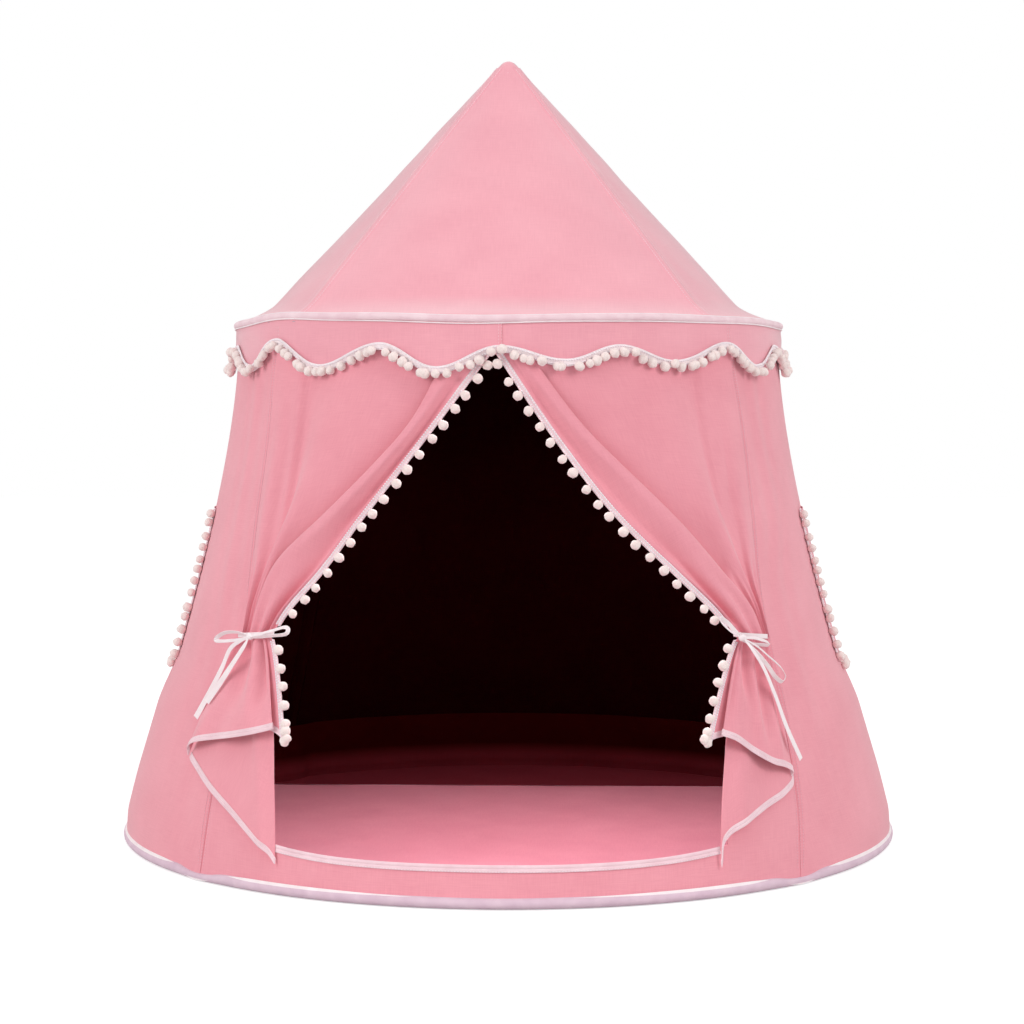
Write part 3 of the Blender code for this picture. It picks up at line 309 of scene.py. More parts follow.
# Short-cut acrylic yarn scatters light, so the balls look soft and have no gloss
YARN = spotted_finish("acrylic_pompom_yarn", "#f0dad6", "#fff2ee", 900.0, 0.95, 0.8, 0.0008,
                      Sheen_Weight=0.5, Sheen_Roughness=0.6, Specular_IOR_Level=0.1)
THREAD = spotted_finish("spun_polyester_thread", "#e7b9c4", "#f3ccd5", 700.0, 0.7, 0.3, 0.0003)
SEAM_THREAD = spotted_finish("pale_pink_thread", "#f4cbd3", "#fbdae0", 700.0, 0.7, 0.3, 0.0003)
WHITE_THREAD = spotted_finish("white_polyester_thread", "#efe3ea", "#fdf7fa", 700.0, 0.7, 0.3, 0.0003)
NET = spotted_finish("knitted_polyester_mesh", "#e3d5da", "#f2e8ec", 400.0, 0.6, 0.2, 0.0002)
# Rigid pieces inside
ROD = spotted_finish("pultruded_glass_fibre", "#dcdad2", "#eceae4", 260.0, 0.35, 0.15, 0.0002)
STEEL = spotted_finish("bright_drawn_steel_wire", "#9c9ca0", "#bcbcc2", 500.0, 0.3, 0.1, 0.0001, Metallic=1.0)
MOULDED = spotted_finish("moulded_polypropylene", "#d8d5d1", "#e4e1de", 320.0, 0.45, 0.12, 0.0002)


# Pieces


class Piece:
    """Collects cloth, tubes and stitches, and makes them one mesh."""

    def __init__(self, name, *finishes):
        self.name, self.finishes = name, finishes
        self.points, self.faces, self.uvs, self.slots, self.count = [], [], [], [], 0

    def add(self, points, faces, uv, slots):
        points = np.asarray(points, float).reshape(-1, 3)
        self.points.append(points)
        self.uvs.append(np.asarray(uv, float).reshape(-1, 2))
        self.faces += [tuple(int(corner) + self.count for corner in face) for face in faces]
        self.slots += list(slots)
        self.count += len(points)

    def shell(self, grid, thickness, front=0, back=None, keep=None, away=None, uv=None, lift=0.0):
        """Cloth between a grid of points, which is its outer face, and a second face behind it."""
        grid = np.asarray(grid, float)
        rows, columns = grid.shape[:2]
        normals, turned = grid_normals(grid, away)
        outer = grid + normals * lift
        inner = outer - normals * thickness
        if uv is None:
            uv = grid_uv(grid)
        index = np.arange(rows * columns).reshape(rows, columns)
        cells = np.stack([index[:-1, :-1], index[:-1, 1:], index[1:, 1:], index[1:, :-1]], -1)
        cells = cells[np.ones(cells.shape[:2], bool) if keep is None else keep]
        if turned:
            cells = cells[:, ::-1]
        total = rows * columns
        edges = np.concatenate([cells[:, [0, 1]], cells[:, [1, 2]], cells[:, [2, 3]], cells[:, [3, 0]]])
        known = set((edges[:, 0] * total + edges[:, 1]).tolist())
        rim = [edge for edge in edges.tolist() if edge[1] * total + edge[0] not in known]
        faces = cells.tolist() + (cells[:, ::-1] + total).tolist()
        faces += [(end, start, start + total, end + total) for start, end in rim]
        back = front if back is None else back
        slots = [front] * len(cells) + [back] * len(cells) + [front] * len(rim)
        used = np.unique(np.concatenate([cells.ravel(), cells.ravel() + total]))
        renumber = np.zeros(2 * total, int)
        renumber[used] = np.arange(len(used))
        points = np.concatenate([outer.reshape(-1, 3), inner.reshape(-1, 3)])[used]
        self.add(points, renumber[np.array(faces)], np.concatenate([uv.reshape(-1, 2)] * 2)[used], slots)

    def tube(self, path, radius, up=(0, 0, 1), sides=8, slot=0):
        """A round cord along a path, with capped ends."""
        path = np.asarray(path, float)
        radius = np.broadcast_to(np.asarray(radius, float), len(path))
        tangents = np.gradient(path, axis=0)
        side = unit(np.cross(tangents, up))
        top = unit(np.cross(side, tangents))
        turns = np.arange(sides) * 2 * math.pi / sides
        ring = path[:, None] + radius[:, None, None] * (np.cos(turns)[:, None] * side[:, None]
                                                        + np.sin(turns)[:, None] * top[:, None])
        index = np.arange(len(path) * sides).reshape(-1, sides)
        faces = []
        for here, there in zip(index, index[1:]):
            faces += zip(here, np.roll(here, -1), np.roll(there, -1), there)
        faces += [index[0][::-1], index[-1]]
        uv = np.stack(np.broadcast_arrays(reach_of(path)[:, None], turns * radius[:, None]), -1)
        self.add(ring, faces, uv, [slot] * len(faces))

    def take(self, made, slot=0):
        """Take over the faces of a finished mesh."""
        points = np.array([vertex.co for vertex in made.vertices])
        faces = [tuple(face.vertices) for face in made.polygons]
        self.add(points, faces, points[:, :2], [slot] * len(faces))
        bpy.data.meshes.remove(made)

    def done(self, body="tent"):
        """One mesh of all that was added, which rides on a body and takes its CAD node's place."""
        mesh = bpy.data.meshes.new(self.name)
        mesh.from_pydata(np.concatenate(self.points).tolist(), [], self.faces)
        layer = mesh.uv_layers.new(name="UVMap")
        corners = np.zeros(len(mesh.loops), int)
        mesh.loops.foreach_get("vertex_index", corners)
        layer.data.foreach_set("uv", np.concatenate(self.uvs)[corners].astype(np.float32).ravel())
        for finish in self.finishes:
            mesh.materials.append(finish)
        mesh.polygons.foreach_set("material_index", self.slots)
        mesh.shade_smooth()
        mesh.set_sharp_from_angle(angle=math.radians(CREASE_ANGLE))
        made = bpy.data.objects.new("sewn_" + self.name, mesh)
        bpy.context.scene.collection.objects.link(made)
        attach(made, body)
        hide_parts(self.name)
        return made


def grid_normals(grid, away=None):
    """Normals of a grid, all on the side that faces away, and whether the grid's own order is turned."""
    across, down = np.gradient(grid, axis=1), np.gradient(grid, axis=0)
    normals = unit(np.cross(across, down))
    if away is None:
        away = outward(grid)
    turned = float(np.sum(normals * away)) < 0
    return (-normals if turned else normals), turned


def grid_uv(grid):
    """Metres along the rows and down the columns of a grid, for the weave to follow."""
    along = np.linalg.norm(np.diff(grid, axis=1), axis=-1)
    down = np.linalg.norm(np.diff(grid, axis=0), axis=-1)
    u = np.concatenate([np.zeros((len(grid), 1)), np.cumsum(along, 1)], 1)
    v = np.concatenate([np.zeros((1, grid.shape[1])), np.cumsum(down, 0)], 0)
    return np.stack([u - u[:, -1:] / 2, v], -1)


# Stitches and pompoms are set out by Geometry Nodes


def new_tree(name, inputs):
    """A Geometry Nodes tree with named inputs, and its two ends."""
    tree = bpy.data.node_groups.new(name, "GeometryNodeTree")
    tree.interface.new_socket("Geometry", in_out="INPUT", socket_type="NodeSocketGeometry")
    for label, kind in inputs:
        tree.interface.new_socket(label, in_out="INPUT", socket_type="NodeSocket" + kind)
    tree.interface.new_socket("Geometry", in_out="OUTPUT", socket_type="NodeSocketGeometry")
    return tree, tree.nodes.new("NodeGroupInput"), tree.nodes.new("NodeGroupOutput")


def run_tree(tree, base, values):
    """The plain mesh that a tree makes of a base mesh, with its inputs set by their identifiers."""
    carrier = bpy.data.objects.new(tree.name + "_carrier", base)
    bpy.context.scene.collection.objects.link(carrier)
    modifier = carrier.modifiers.new(tree.name, "NODES")
    modifier.node_group = tree
    for item in tree.interface.items_tree:
        if item.in_out == "INPUT" and item.name in values:
            modifier[item.identifier] = values[item.name]
    graph = bpy.context.evaluated_depsgraph_get()
    made = bpy.data.meshes.new_from_object(carrier.evaluated_get(graph))
    carrier.modifiers.remove(modifier)
    bpy.data.objects.remove(carrier)
    bpy.data.meshes.remove(base)
    return made


def close_tree(tree, end, shape):
    """Realize the instances and send them out."""
    tree.links.new(add(tree, "GeometryNodeRealizeInstances", {0: shape}).outputs[0], end.inputs[0])


def stitch_tree():
    """A stitch at each pitch along the paths, lying along the path."""
    tree, start, end = new_tree("stitches", (("Pitch", "Float"), ("Length", "Float"),
                                             ("Thickness", "Float")))
    curve = add(tree, "GeometryNodeMeshToCurve", {0: start.outputs["Geometry"]}).outputs[0]
    spots = add(tree, "GeometryNodeCurveToPoints", {"Curve": curve, "Length": start.outputs["Pitch"]},
                mode="LENGTH")
    seed = add(tree, "GeometryNodeMeshUVSphere", {"Segments": 5, "Rings": 4, "Radius": 0.5}).outputs[0]
    size = add(tree, "ShaderNodeCombineXYZ", {0: start.outputs["Thickness"], 1: start.outputs["Thickness"],
                                              2: start.outputs["Length"]}).outputs[0]
    stitch = add(tree, "GeometryNodeTransform", {"Geometry": seed, "Scale": size}).outputs[0]
    facing = add(tree, "FunctionNodeAlignRotationToVector", {"Vector": spots.outputs["Tangent"]},
                 axis="Z").outputs[0]
    laid = add(tree, "GeometryNodeInstanceOnPoints", {"Points": spots.outputs[0], "Instance": stitch,
                                                      "Rotation": facing}).outputs[0]
    close_tree(tree, end, laid)
    return tree


def pompom_tree(variants=4):
    """A lumpy ball of yarn on each point: one of a few, turned and sized at random."""
    tree, start, end = new_tree("pompoms", (("Radius", "Float"), ("Seed", "Int")))
    gathered = add(tree, "GeometryNodeJoinGeometry")
    for number in range(variants):
        ball = add(tree, "GeometryNodeMeshIcoSphere", {"Radius": start.outputs["Radius"], "Subdivisions": 3})
        where = add(tree, "GeometryNodeInputPosition").outputs[0]
        lumps = add(tree, "ShaderNodeTexNoise", {"Vector": where, "W": number * 7.3, "Scale": 160.0,
                                                 "Detail": 2.0}, noise_dimensions="4D")
        centred = add(tree, "ShaderNodeVectorMath", {0: lumps.outputs["Color"], 1: (0.5, 0.5, 0.5)},
                      operation="SUBTRACT").outputs[0]
        push = add(tree, "ShaderNodeVectorMath", {0: centred, "Scale": 0.0042}, operation="SCALE").outputs[0]
        shaped = add(tree, "GeometryNodeSetPosition", {"Geometry": ball.outputs[0], "Offset": push})
        kind = add(tree, "GeometryNodeGeometryToInstance", {0: shaped.outputs[0]}).outputs[0]
        tree.links.new(kind, gathered.inputs[0])
    chosen = add(tree, "FunctionNodeRandomValue", {"Min": 0, "Max": variants - 1,
                                                   "Seed": start.outputs["Seed"]}, data_type="INT")
    turn = add(tree, "FunctionNodeRandomValue", {"Min": (0, 0, 0), "Max": (6.28, 6.28, 6.28),
                                                 "Seed": start.outputs["Seed"]}, data_type="FLOAT_VECTOR")
    size = add(tree, "FunctionNodeRandomValue", data_type="FLOAT")
    size.inputs[2].default_value, size.inputs[3].default_value = 0.88, 1.06
    tree.links.new(start.outputs["Seed"], size.inputs["Seed"])
    laid = add(tree, "GeometryNodeInstanceOnPoints",
               {"Points": start.outputs["Geometry"], "Instance": gathered.outputs[0], "Pick Instance": True,
                "Instance Index": chosen.outputs[2], "Rotation": turn.outputs[0],
                "Scale": size.outputs[1]}).outputs[0]
    close_tree(tree, end, laid)
    return tree


STITCHES, POMPOMS = stitch_tree(), pompom_tree()


def sew(piece, paths, slot, pitch=0.0042, length=0.0032, thickness=0.0007):
    """Rows of stitches along paths, added to a piece."""
    points, edges, count = [], [], 0
    for path in paths:
        path = np.asarray(path, float)
        points.append(path)
        edges += [(count + step, count + step + 1) for step in range(len(path) - 1)]
        count += len(path)
    base = bpy.data.meshes.new("sewing_line")
    base.from_pydata(np.concatenate(points).tolist(), edges, [])
    piece.take(run_tree(STITCHES, base, {"Pitch": pitch, "Length": length, "Thickness": thickness}), slot)


def hang_pompoms(piece, centres, slot, seed):
    base = bpy.data.meshes.new("pompom_places")
    base.from_pydata(np.asarray(centres).tolist(), [], [])
    piece.take(run_tree(POMPOMS, base, {"Radius": POMPOM_RADIUS, "Seed": seed}), slot)


def trim(name, body, middle, away, normals, width, pitch, first, jitter, seed, droop, roll=0.0, flips=0.0,
         drop=1.0, root=0.40, ground=BRAID, outset=0.0015, at_end=False):
    """Woven tape along a line, stitched in two rows, with pompoms on the side it faces.

    The pompoms sit a pitch apart, each off by up to the jitter, and a share of them flips over the tape."""
    tape = Piece(name, ground, YARN, WHITE_THREAD)
    roll = np.broadcast_to(roll, len(middle))[:, None]
    across = away * np.cos(roll) - normals * np.sin(roll)
    lift = unit(np.cross(np.cross(across, normals), across))
    steps = np.linspace(-0.5, 0.5, 7)
    crown = (0.25 - steps ** 2) * 0.0022
    grid = middle + across * (steps * width)[:, None, None] + lift * crown[:, None, None]
    reach = reach_of(middle)
    tape.shell(grid, TAPE, uv=np.stack(np.broadcast_arrays(reach, steps[:, None] * width), -1), away=normals)
    rows = [middle + across * offset * width + lift * 0.0006 for offset in (-0.27, 0.27)]
    sew(tape, rows, 2, 0.0038, 0.0033, 0.0027)
    draw = np.random.default_rng(seed)
    spots = np.arange(first, reach[-1] - first / 2, pitch)
    spots = spots + draw.uniform(-jitter, jitter, len(spots))
    base, free, out = (np.stack([np.interp(spots, reach, axis) for axis in values.T], -1)
                       for values in (middle, across, lift))
    free, out = unit(free), unit(out)
    flipped = draw.uniform(0, 1, len(spots)) < flips
    hanging = unit(free + np.array([0.0, 0.0, -1.0]) * droop + out * 0.12)
    hanging[flipped] = unit(-free[flipped] * 0.4 + out[flipped] * 0.9)
    start = base + free * width * root
    ball = start + hanging * (POMPOM_RADIUS * drop * draw.uniform(0.9, 1.2, (len(spots), 1)))
    ball += out * (outset + POMPOM_RADIUS * (1 - drop) * 1.5)
    if at_end:
        # Three pompoms bunch where the trim ends: how far each is aside and along, in pompom radii
        bunch = np.array([(1.35, -1.15), (1.55, 0.40), (0.80, 0.80)]) * POMPOM_RADIUS
        last, aside = tangents_of(middle)[-1], unit(across[-1])
        start = np.concatenate([start, np.repeat(middle[-1:], 3, axis=0)])
        ends = middle[-1] + bunch[:, :1] * aside + bunch[:, 1:] * last + lift[-1] * 0.003
        ball = np.concatenate([ball, ends])
    for knot, centre in zip(start, ball):
        tape.tube([knot, mix(knot, centre, 0.5), centre], 0.0012, up=(0.3, 0.2, 0.9), sides=4, slot=1)
    hang_pompoms(tape, ball, 1, seed)
    return tape.done(body)


# The roof


def ridge_radius(height):
    slope = (EAVE_RADIUS - EAVE_SEAM_INSET) / (PEAK_HEIGHT - EAVE_HEIGHT) * RIDGE_STEEPNESS
    return slope * (PEAK_HEIGHT - height)


def roof_radius(share, height, dishing=ROOF_DISHING):
    """The outer face of a roof gore, with share -1 to 1 across it: dished between its ridges."""
    foot = EAVE_HEIGHT + 0.005
    plan = 1 - dishing * (1 - share * share)
    flare = np.clip((foot + ROOF_FLARE_HEIGHT - height) / ROOF_FLARE_HEIGHT, 0, 1)
    lift = EAVE_RADIUS - EAVE_SEAM_INSET - plan * ridge_radius(foot)
    return plan * ridge_radius(height) + lift * flare * flare


def roof_gore(name, azimuth, number, dishing=ROOF_DISHING):
    """One of the four gores, with a soft sag, its seams turned under at the ridges."""
    rows, columns = 110, 90
    top = CAP_TOP - 0.012
    even = np.linspace(-1, 1, columns)
    share = np.sign(even)[None] * (1 - (1 - np.abs(even)) ** 1.5)[None]
    foot = EAVE_HEIGHT + 0.001 + eave_rise(azimuth + 45 * share)
    height = mix(foot, top, np.linspace(0, 1, rows)[:, None])
    radius = roof_radius(share, height, dishing)
    u, v = share * radius * math.pi / 4, height * 1.4
    slack = smooth((1 - np.abs(share)) / 0.20) * smooth((top - height) / 0.10)
    sag = 0.0016 * ripple(u, v, 0.22, 10 + number) + 0.0005 * ripple(u, v, 0.06, 20 + number)
    radius = radius + slack * sag
    ridge_gap = (1 - np.abs(share)) * radius * math.pi / 4
    radius = radius + 0.0014 * smooth((0.0085 - ridge_gap) / 0.0012)
    radius = radius + 0.0010 * smooth((0.024 - ridge_gap) / 0.012)
    gore = Piece(name, PINK_PAINTED_LIGHTER, LINING, SEAM_THREAD)
    points = place(azimuth + 45 * share * (1 - 0.00005 / radius), radius, height)
    gore.shell(points, CLOTH, 0, 1, uv=np.stack(np.broadcast_arrays(u, v), -1))
    level = mix(EAVE_HEIGHT + 0.004, top - 0.005, np.linspace(0, 1, 80))
    edges = []
    for way in (-1, 1):
        line = way * (1 - 0.0058 / (ridge_radius(level) * math.pi / 4))
        edges.append(place(azimuth + 45 * line, roof_radius(line, level) + 0.0026, level))
    sew(gore, edges, 2, 0.0042, 0.0034, 0.0011)
    made = gore.done()


def apex_cap():
    """The rounded cloth point sewn over the meeting of the gores."""
    radii = np.linspace(0.0004, CAP_RADIUS, 14)
    azimuths = np.linspace(0, 360, 49)
    rounding = 0.0130
    plan = 1 - ROOF_DISHING * (1 - (((azimuths + 45) % 90 - 45) / 45) ** 2)
    slant = np.where(radii < rounding, (radii ** 2 + rounding ** 2) / (2 * rounding), radii)
    slope = ridge_radius(PEAK_HEIGHT - 1.0)
    heights = CAP_TOP - (slant - rounding / 2) / slope
    grid = place(azimuths[None], radii[:, None] * plan + 0.0008, heights[:, None])
    cap = Piece("apex_cap", PINK_PAINTED_LIGHTER, PINK_PAINTED_LIGHTER, SEAM_THREAD)
    cap.shell(grid, 0.0004, away=(0, 0, 1))
    sew(cap, [place(azimuths, radii[-2] * plan + 0.0012, heights[-2])], 2)
    made = cap.done()


# The walls


def foot_height(azimuth):
    """The lower edge of the wall, which dips to the floor where a pole stands."""
    corner = np.abs((np.abs(azimuth) % 90) - 45)
    near_door = np.exp(-(azimuth / 14) ** 2)
    return 0.0150 - 0.0110 * np.exp(-(corner / 5.0) ** 2) - 0.0040 * near_door


def wall_relief(azimuth, height, seams):
    """Soft slack in the wall, and upright folds beside the seams where the sleeves pull on it."""
    u = np.radians(azimuth) * 0.5
    down = (WALL_TOP - height) / WALL_TOP
    slack = smooth(down / 0.08) * smooth(height / 0.05)
    relief = 0.0020 * ripple(u, height * 0.6, 0.24, 31) + 0.0004 * ripple(u, height, 0.07, 32)
    relief = relief * smooth((np.abs(np.abs(azimuth) - 90) - 13) / 12)
    belly = smooth((0.30 - height) / 0.10) * smooth((40 - np.abs(np.abs(azimuth) - 90)) / 24)
    relief = relief + 0.012 * belly * mix(0.6, 1.0, smooth(height / 0.12))
    for seam in seams:
        gap = np.abs(azimuth - seam) * WALL_METRES_PER_DEGREE
        pull = np.exp(-((gap - 0.060) / 0.050) ** 2) * smooth(down / 0.15)
        pull = pull * (1 - 0.7 * smooth((down - 0.45) / 0.5))
        wander = gap + 0.010 * np.sin(height * 7 + seam) + 0.004 * ripple(gap, height, 0.15, 33)
        relief = relief + pull * 0.0011 * np.sin(wander / 0.027 * math.pi)
        relief = relief * smooth(gap / 0.010) - 0.0009 * np.exp(-(gap / 0.0025) ** 2)
        relief = relief + 0.0010 * np.exp(-((gap - 0.007) / 0.004) ** 2)
    return relief * slack


def wall_points(azimuth, height, seams, out=0.0):
    azimuth, height = np.broadcast_arrays(azimuth, height)
    return place(azimuth, wall_radius(height) + wall_relief(azimuth, height, seams) + out, height)


def plain_wall(name, first, last, columns, window=None):
    """A wall panel between two seams, given as functions of height."""
    steps = np.linspace(0, 1, 150)
    guess = mix(0.012, WALL_TOP, steps)[:, None]
    share = np.linspace(0, 1, columns)[None]
    low, high = first(guess), last(guess)
    azimuth = mix(low, high, share)
    height = mix(foot_height(azimuth), WALL_TOP, steps[:, None])
    keep = None
    if window:
        inside = np.abs(azimuth - window) < WINDOW_HALF_ANGLE
        inside = inside & (height > WINDOW_BOTTOM) & (height < WINDOW_TOP)
        keep = ~(inside[:-1, :-1] & inside[1:, 1:] & inside[1:, :-1] & inside[:-1, 1:])
    points = wall_points(azimuth, height, (low, high))
    wall = Piece(name, PINK, LINING, THREAD)
    uv = np.stack([np.radians(azimuth - azimuth.mean()) * wall_radius(height), height], -1)
    wall.shell(points, CLOTH, 0, 1, keep=keep, uv=uv)
    rows = []
    for seam, way in ((low, 1), (high, -1)):
        for inset in (0.0028, 0.0075):
            line = seam[:, 0] + way * np.degrees(inset / wall_radius(guess[:, 0]))
            rows.append(wall_points(line, guess[:, 0], (low[:, 0], high[:, 0]), 0.0002)[2:-6])
    sew(wall, rows, 2)
    return wall.done()


def build_walls():
    clear = 0.02
    made = plain_wall("wall_panel_back", lambda height: BACK_SEAM + clear + 0 * height,
                      lambda height: 360 - BACK_SEAM - clear + 0 * height, 150)
    for side, sign in SIDES:
        ends = (lambda height: sign * seam_azimuth(side, height),
                lambda height: sign * BACK_SEAM + 0 * height)
        made = plain_wall("wall_panel_" + side, *(ends if sign > 0 else ends[::-1]), 170, window=sign * 90)


def jamb_azimuth(height):
    """The cut edge beside the door, which stays hidden behind the curtain."""
    heights = (SILL_HEIGHT - 0.02, 0.12, 0.20, 0.25, 0.30, TIE_HEIGHT, HEADER_FOOT)
    return through(heights, (32.9, 34.0, 37.2, 40.2, 42.4, 43.2, 43.4), height)


def front_wall():
    """The front panel, cut out for the door above its sill."""
    heights = np.concatenate([np.linspace(0, 1, 14)[:-1] * SILL_HEIGHT,
                              np.linspace(SILL_HEIGHT, HEADER_FOOT, 120),
                              np.linspace(HEADER_FOOT, WALL_TOP, 10)[1:]])
    level = heights[:, None]
    jamb = jamb_azimuth(level)
    lap = 0.8
    edges = [-seam_azimuth("left", level) - lap, -jamb, jamb, seam_azimuth("right", level) + lap]
    beside_door, over_door = 17, 99
    spans = [mix(edges[0], edges[1], np.linspace(0, 1, beside_door + 1)[None, :-1]),
             mix(edges[1], edges[2], np.linspace(0, 1, over_door + 1)[None, :-1]),
             mix(edges[2], edges[3], np.linspace(0, 1, beside_door + 1)[None])]
    azimuth = np.concatenate(spans, 1)
    foot = foot_height(azimuth)
    height = np.where(level < SILL_HEIGHT, mix(foot, SILL_HEIGHT, level / SILL_HEIGHT), level) + 0 * azimuth
    sag = sill_sag(azimuth) * np.clip(level / SILL_HEIGHT, 0, 1) * (level <= SILL_HEIGHT)
    height = height + sag * (np.abs(azimuth) <= jamb)
    points = wall_points(azimuth, height, (edges[0] + lap, edges[3] - lap), -0.0011)
    row, column = np.meshgrid(heights[:-1], np.arange(azimuth.shape[1] - 1), indexing="ij")
    keep = ~((row >= SILL_HEIGHT - 1e-6) & (row < HEADER_FOOT - 1e-6)
             & (column >= beside_door) & (column < beside_door + over_door))
    wall = Piece("door_surround", PINK, LINING, THREAD)
    wall.shell(points, CLOTH, 0, 1, keep=keep,
               uv=np.stack([np.radians(azimuth) * wall_radius(height), height], -1))
    rows = []
    seams = (edges[0][:, 0] + lap, edges[3][:, 0] - lap)
    for edge, way in ((seams[0], 1), (seams[1], -1)):
        line = edge + way * np.degrees(0.0028 / wall_radius(heights))
        rows.append(wall_points(line, heights, seams, -0.0009)[5:])
    sew(wall, rows, 2)
    made = wall.done()


def sill_sag(azimuth):
    """How far the sill's top lies from its even height: low in the middle, high at its ends."""
    return -0.0045 + 0.0085 * np.abs(azimuth / 31.0) ** 4


def front_seams(height):
    return -seam_azimuth("left", height), seam_azimuth("right", height)


def sill_binding():
    """Tape folded over the sill: a rounded strip on the outer face, which wraps the edge."""
    tape = Piece("door_sill_binding", HEM_TAPE, WHITE_THREAD)
    azimuths = np.linspace(-32.4, 31.7, 160)
    edge = SILL_HEIGHT + sill_sag(azimuths)
    steps = np.linspace(0, 1, 9)[:, None]
    level = edge[None] + 0.0012 - steps * 0.0098
    crown = 0.0004 + 0.0009 * np.abs(np.sin(2 * math.pi * steps)) ** 0.5
    tape.shell(wall_points(azimuths[None], level, front_seams(level), crown), 0.0034)
    line = edge - 0.0072
    sew(tape, [wall_points(azimuths, line, front_seams(line), 0.0013)], 1)
    tape.done()


def eave_rise(azimuth):
    """How far the eave stands above its even height, where the poles push it up."""
    azimuth = (np.asarray(azimuth, float) + 180) % 360 - 180
    turns = (-180, -135, -90, -66, -47.8, -33, -18.8, 0.3, 19.2, 42.8, 66, 90, 135, 180)
    rises = (-0.001, 0.004, 0.0, 0.003, 0.0083, 0.0050, 0.0022, -0.0014, 0.0019, 0.0026, 0.0015, 0.0, 0.004,
             -0.001)
    return through(turns, rises, azimuth)


def casing_line(count):
    """Azimuths once round the tent from behind, and how far the end laps over the start."""
    azimuths = np.linspace(179.6, 540.4, count)
    return azimuths, 0.0005 * smooth((azimuths - 539.0) / 0.5)


def round_casing(piece, azimuths, centre, height, radius):
    """Cloth folded round a hoop and sewn shut on its inner side."""
    turns = np.radians(np.linspace(-168, 168, 19))[:, None]
    grid = place(azimuths[None], centre[None] + radius[None] * np.cos(turns),
                 height[None] - radius[None] * np.sin(turns))
    piece.shell(grid, CLOTH, away=grid - place(azimuths, centre, height))


def eave_casing():
    """Satin piping round the eave hoop, with a white sewn edge below it and a painted highlight: a thin white
    cord along its top.
    """
    azimuths, lap = casing_line(361)
    wave = 0.0004 * np.sin(np.radians(azimuths) * 13 + 0.6)
    height = EAVE_HEIGHT + eave_rise(azimuths) + wave
    casing = Piece("eave_casing", PIPING, TAPE_WHITE, THREAD)
    round_casing(casing, azimuths, EAVE_RADIUS - EAVE_PIPE_RADIUS + wave * 0.4, height,
                 EAVE_PIPE_RADIUS + lap)
    dip = 0.0014 * np.exp(-(((azimuths - 356) / 12) ** 2))
    lip = height - EAVE_PIPE_RADIUS + 0.0007 * np.sin(np.radians(azimuths) * 7 + 1.0) - dip
    casing.tube(place(azimuths, EAVE_RADIUS - 0.0022, lip), 0.0010, sides=6, slot=1)
    # Painted highlight: a thin white cord along the top of the piping
    casing.tube(place(azimuths, EAVE_RADIUS - 0.0056, height + EAVE_PIPE_RADIUS), 0.0009, sides=6, slot=1)
    made = casing.done()


def base_casing():
    """Lavender binding round the base hoop, and the white tape that joins it to the wall."""
    azimuths, lap = casing_line(421)
    turn = (azimuths + 180) % 360 - 180
    foot = foot_height(turn)
    radius = BASE_PIPE_RADIUS * mix(0.62, 1.0, smooth((foot - 0.003) / 0.010))
    casing = Piece("base_casing", LAVENDER, TAPE_WHITE)
    centre = BASE_RADIUS - 0.0082
    round_casing(casing, azimuths, centre + BASE_PIPE_RADIUS - radius, radius + 0.0007, radius + lap)
    steps = np.linspace(0, 1, 7)
    level = foot[None] + 0.0024 - steps[:, None] * 0.0048
    level = np.maximum(level, 0.0012)
    out = mix(wall_radius(level) + 0.0018, BASE_RADIUS - 0.0004, 0.5 * steps[:, None]) + lap[None]
    casing.shell(place(azimuths[None], out, level), TAPE, 1)
    made = casing.done()


def turned_up_edge():
    """The groundsheet's edge, turned up inside the back and side walls in front of the poles' feet."""
    azimuth = np.linspace(50.0, 310.0, 240)[None]
    height = np.concatenate([np.linspace(0.0026, 0.03, 12), np.linspace(0.035, 0.1005, 10)])[:, None]
    corner = (np.abs(azimuth - 180) % 90) - 45
    pole = np.exp(-(corner / 4.2) ** 4)
    inset = 0.0045 + 0.0120 * smooth((0.044 - height) / 0.030) + mix(0.018, 0.014, height / 0.10) * pole
    soft = 0.0016 * ripple(np.radians(azimuth) * 0.58, height, 0.09, 42)
    return place(azimuth, wall_radius(height) - inset + soft, height)


def groundsheet():
    """Pink at the door; behind a straight seam it is painted dark maroon as shade, and its edge, painted
    darker upwards as shade, turns up the back wall.
    """
    seam_y = 0.357
    floor = Piece("groundsheet", FLOOR_PINK, FLOOR_LINING, THREAD, TURN_UP)
    radius = GROUNDSHEET_RADIUS + 0.003
    half = math.sqrt(radius ** 2 - seam_y ** 2)
    across = np.linspace(-1, 1, 120)[None]
    for low, high, slot in ((-radius + 0.0005, seam_y, 0), (seam_y, radius - 0.0005, 1)):
        y = mix(low, high, np.linspace(0, 1, 90))[:, None]
        x = across * np.sqrt(np.maximum(radius ** 2 - y ** 2, 1e-7))
        y = y + 0 * x
        wave = 0.0007 * (1 + ripple(x, y, 0.16, 41)) * smooth((radius - np.hypot(x, y)) / 0.03)
        lift = 0.0016 + wave + (0.0008 if slot else 0.0)
        grid = np.stack([x, y, lift], -1)
        floor.shell(grid, CLOTH, slot, 1, away=(0, 0, 1), uv=np.stack([x, y], -1))
    edge = turned_up_edge()
    floor.shell(edge, CLOTH, 3, away=np.array([0, 0, 0.2]) - edge * (1, 1, 0))
    seam = [(x, seam_y - 0.004, 0.0036) for x in np.linspace(-half, half, 60)]
    sew(floor, [seam], 2)
    made = floor.done()


# The valance


VALANCE_TURNS = ((-50.6, 0.7580), (-36.8, 0.7187), (-23.0, 0.7489), (-11.5, 0.7146), (0.3, 0.7440),
                 (12.6, 0.7250), (23.3, 0.7458), (35.0, 0.7245), (49.3, 0.7520))


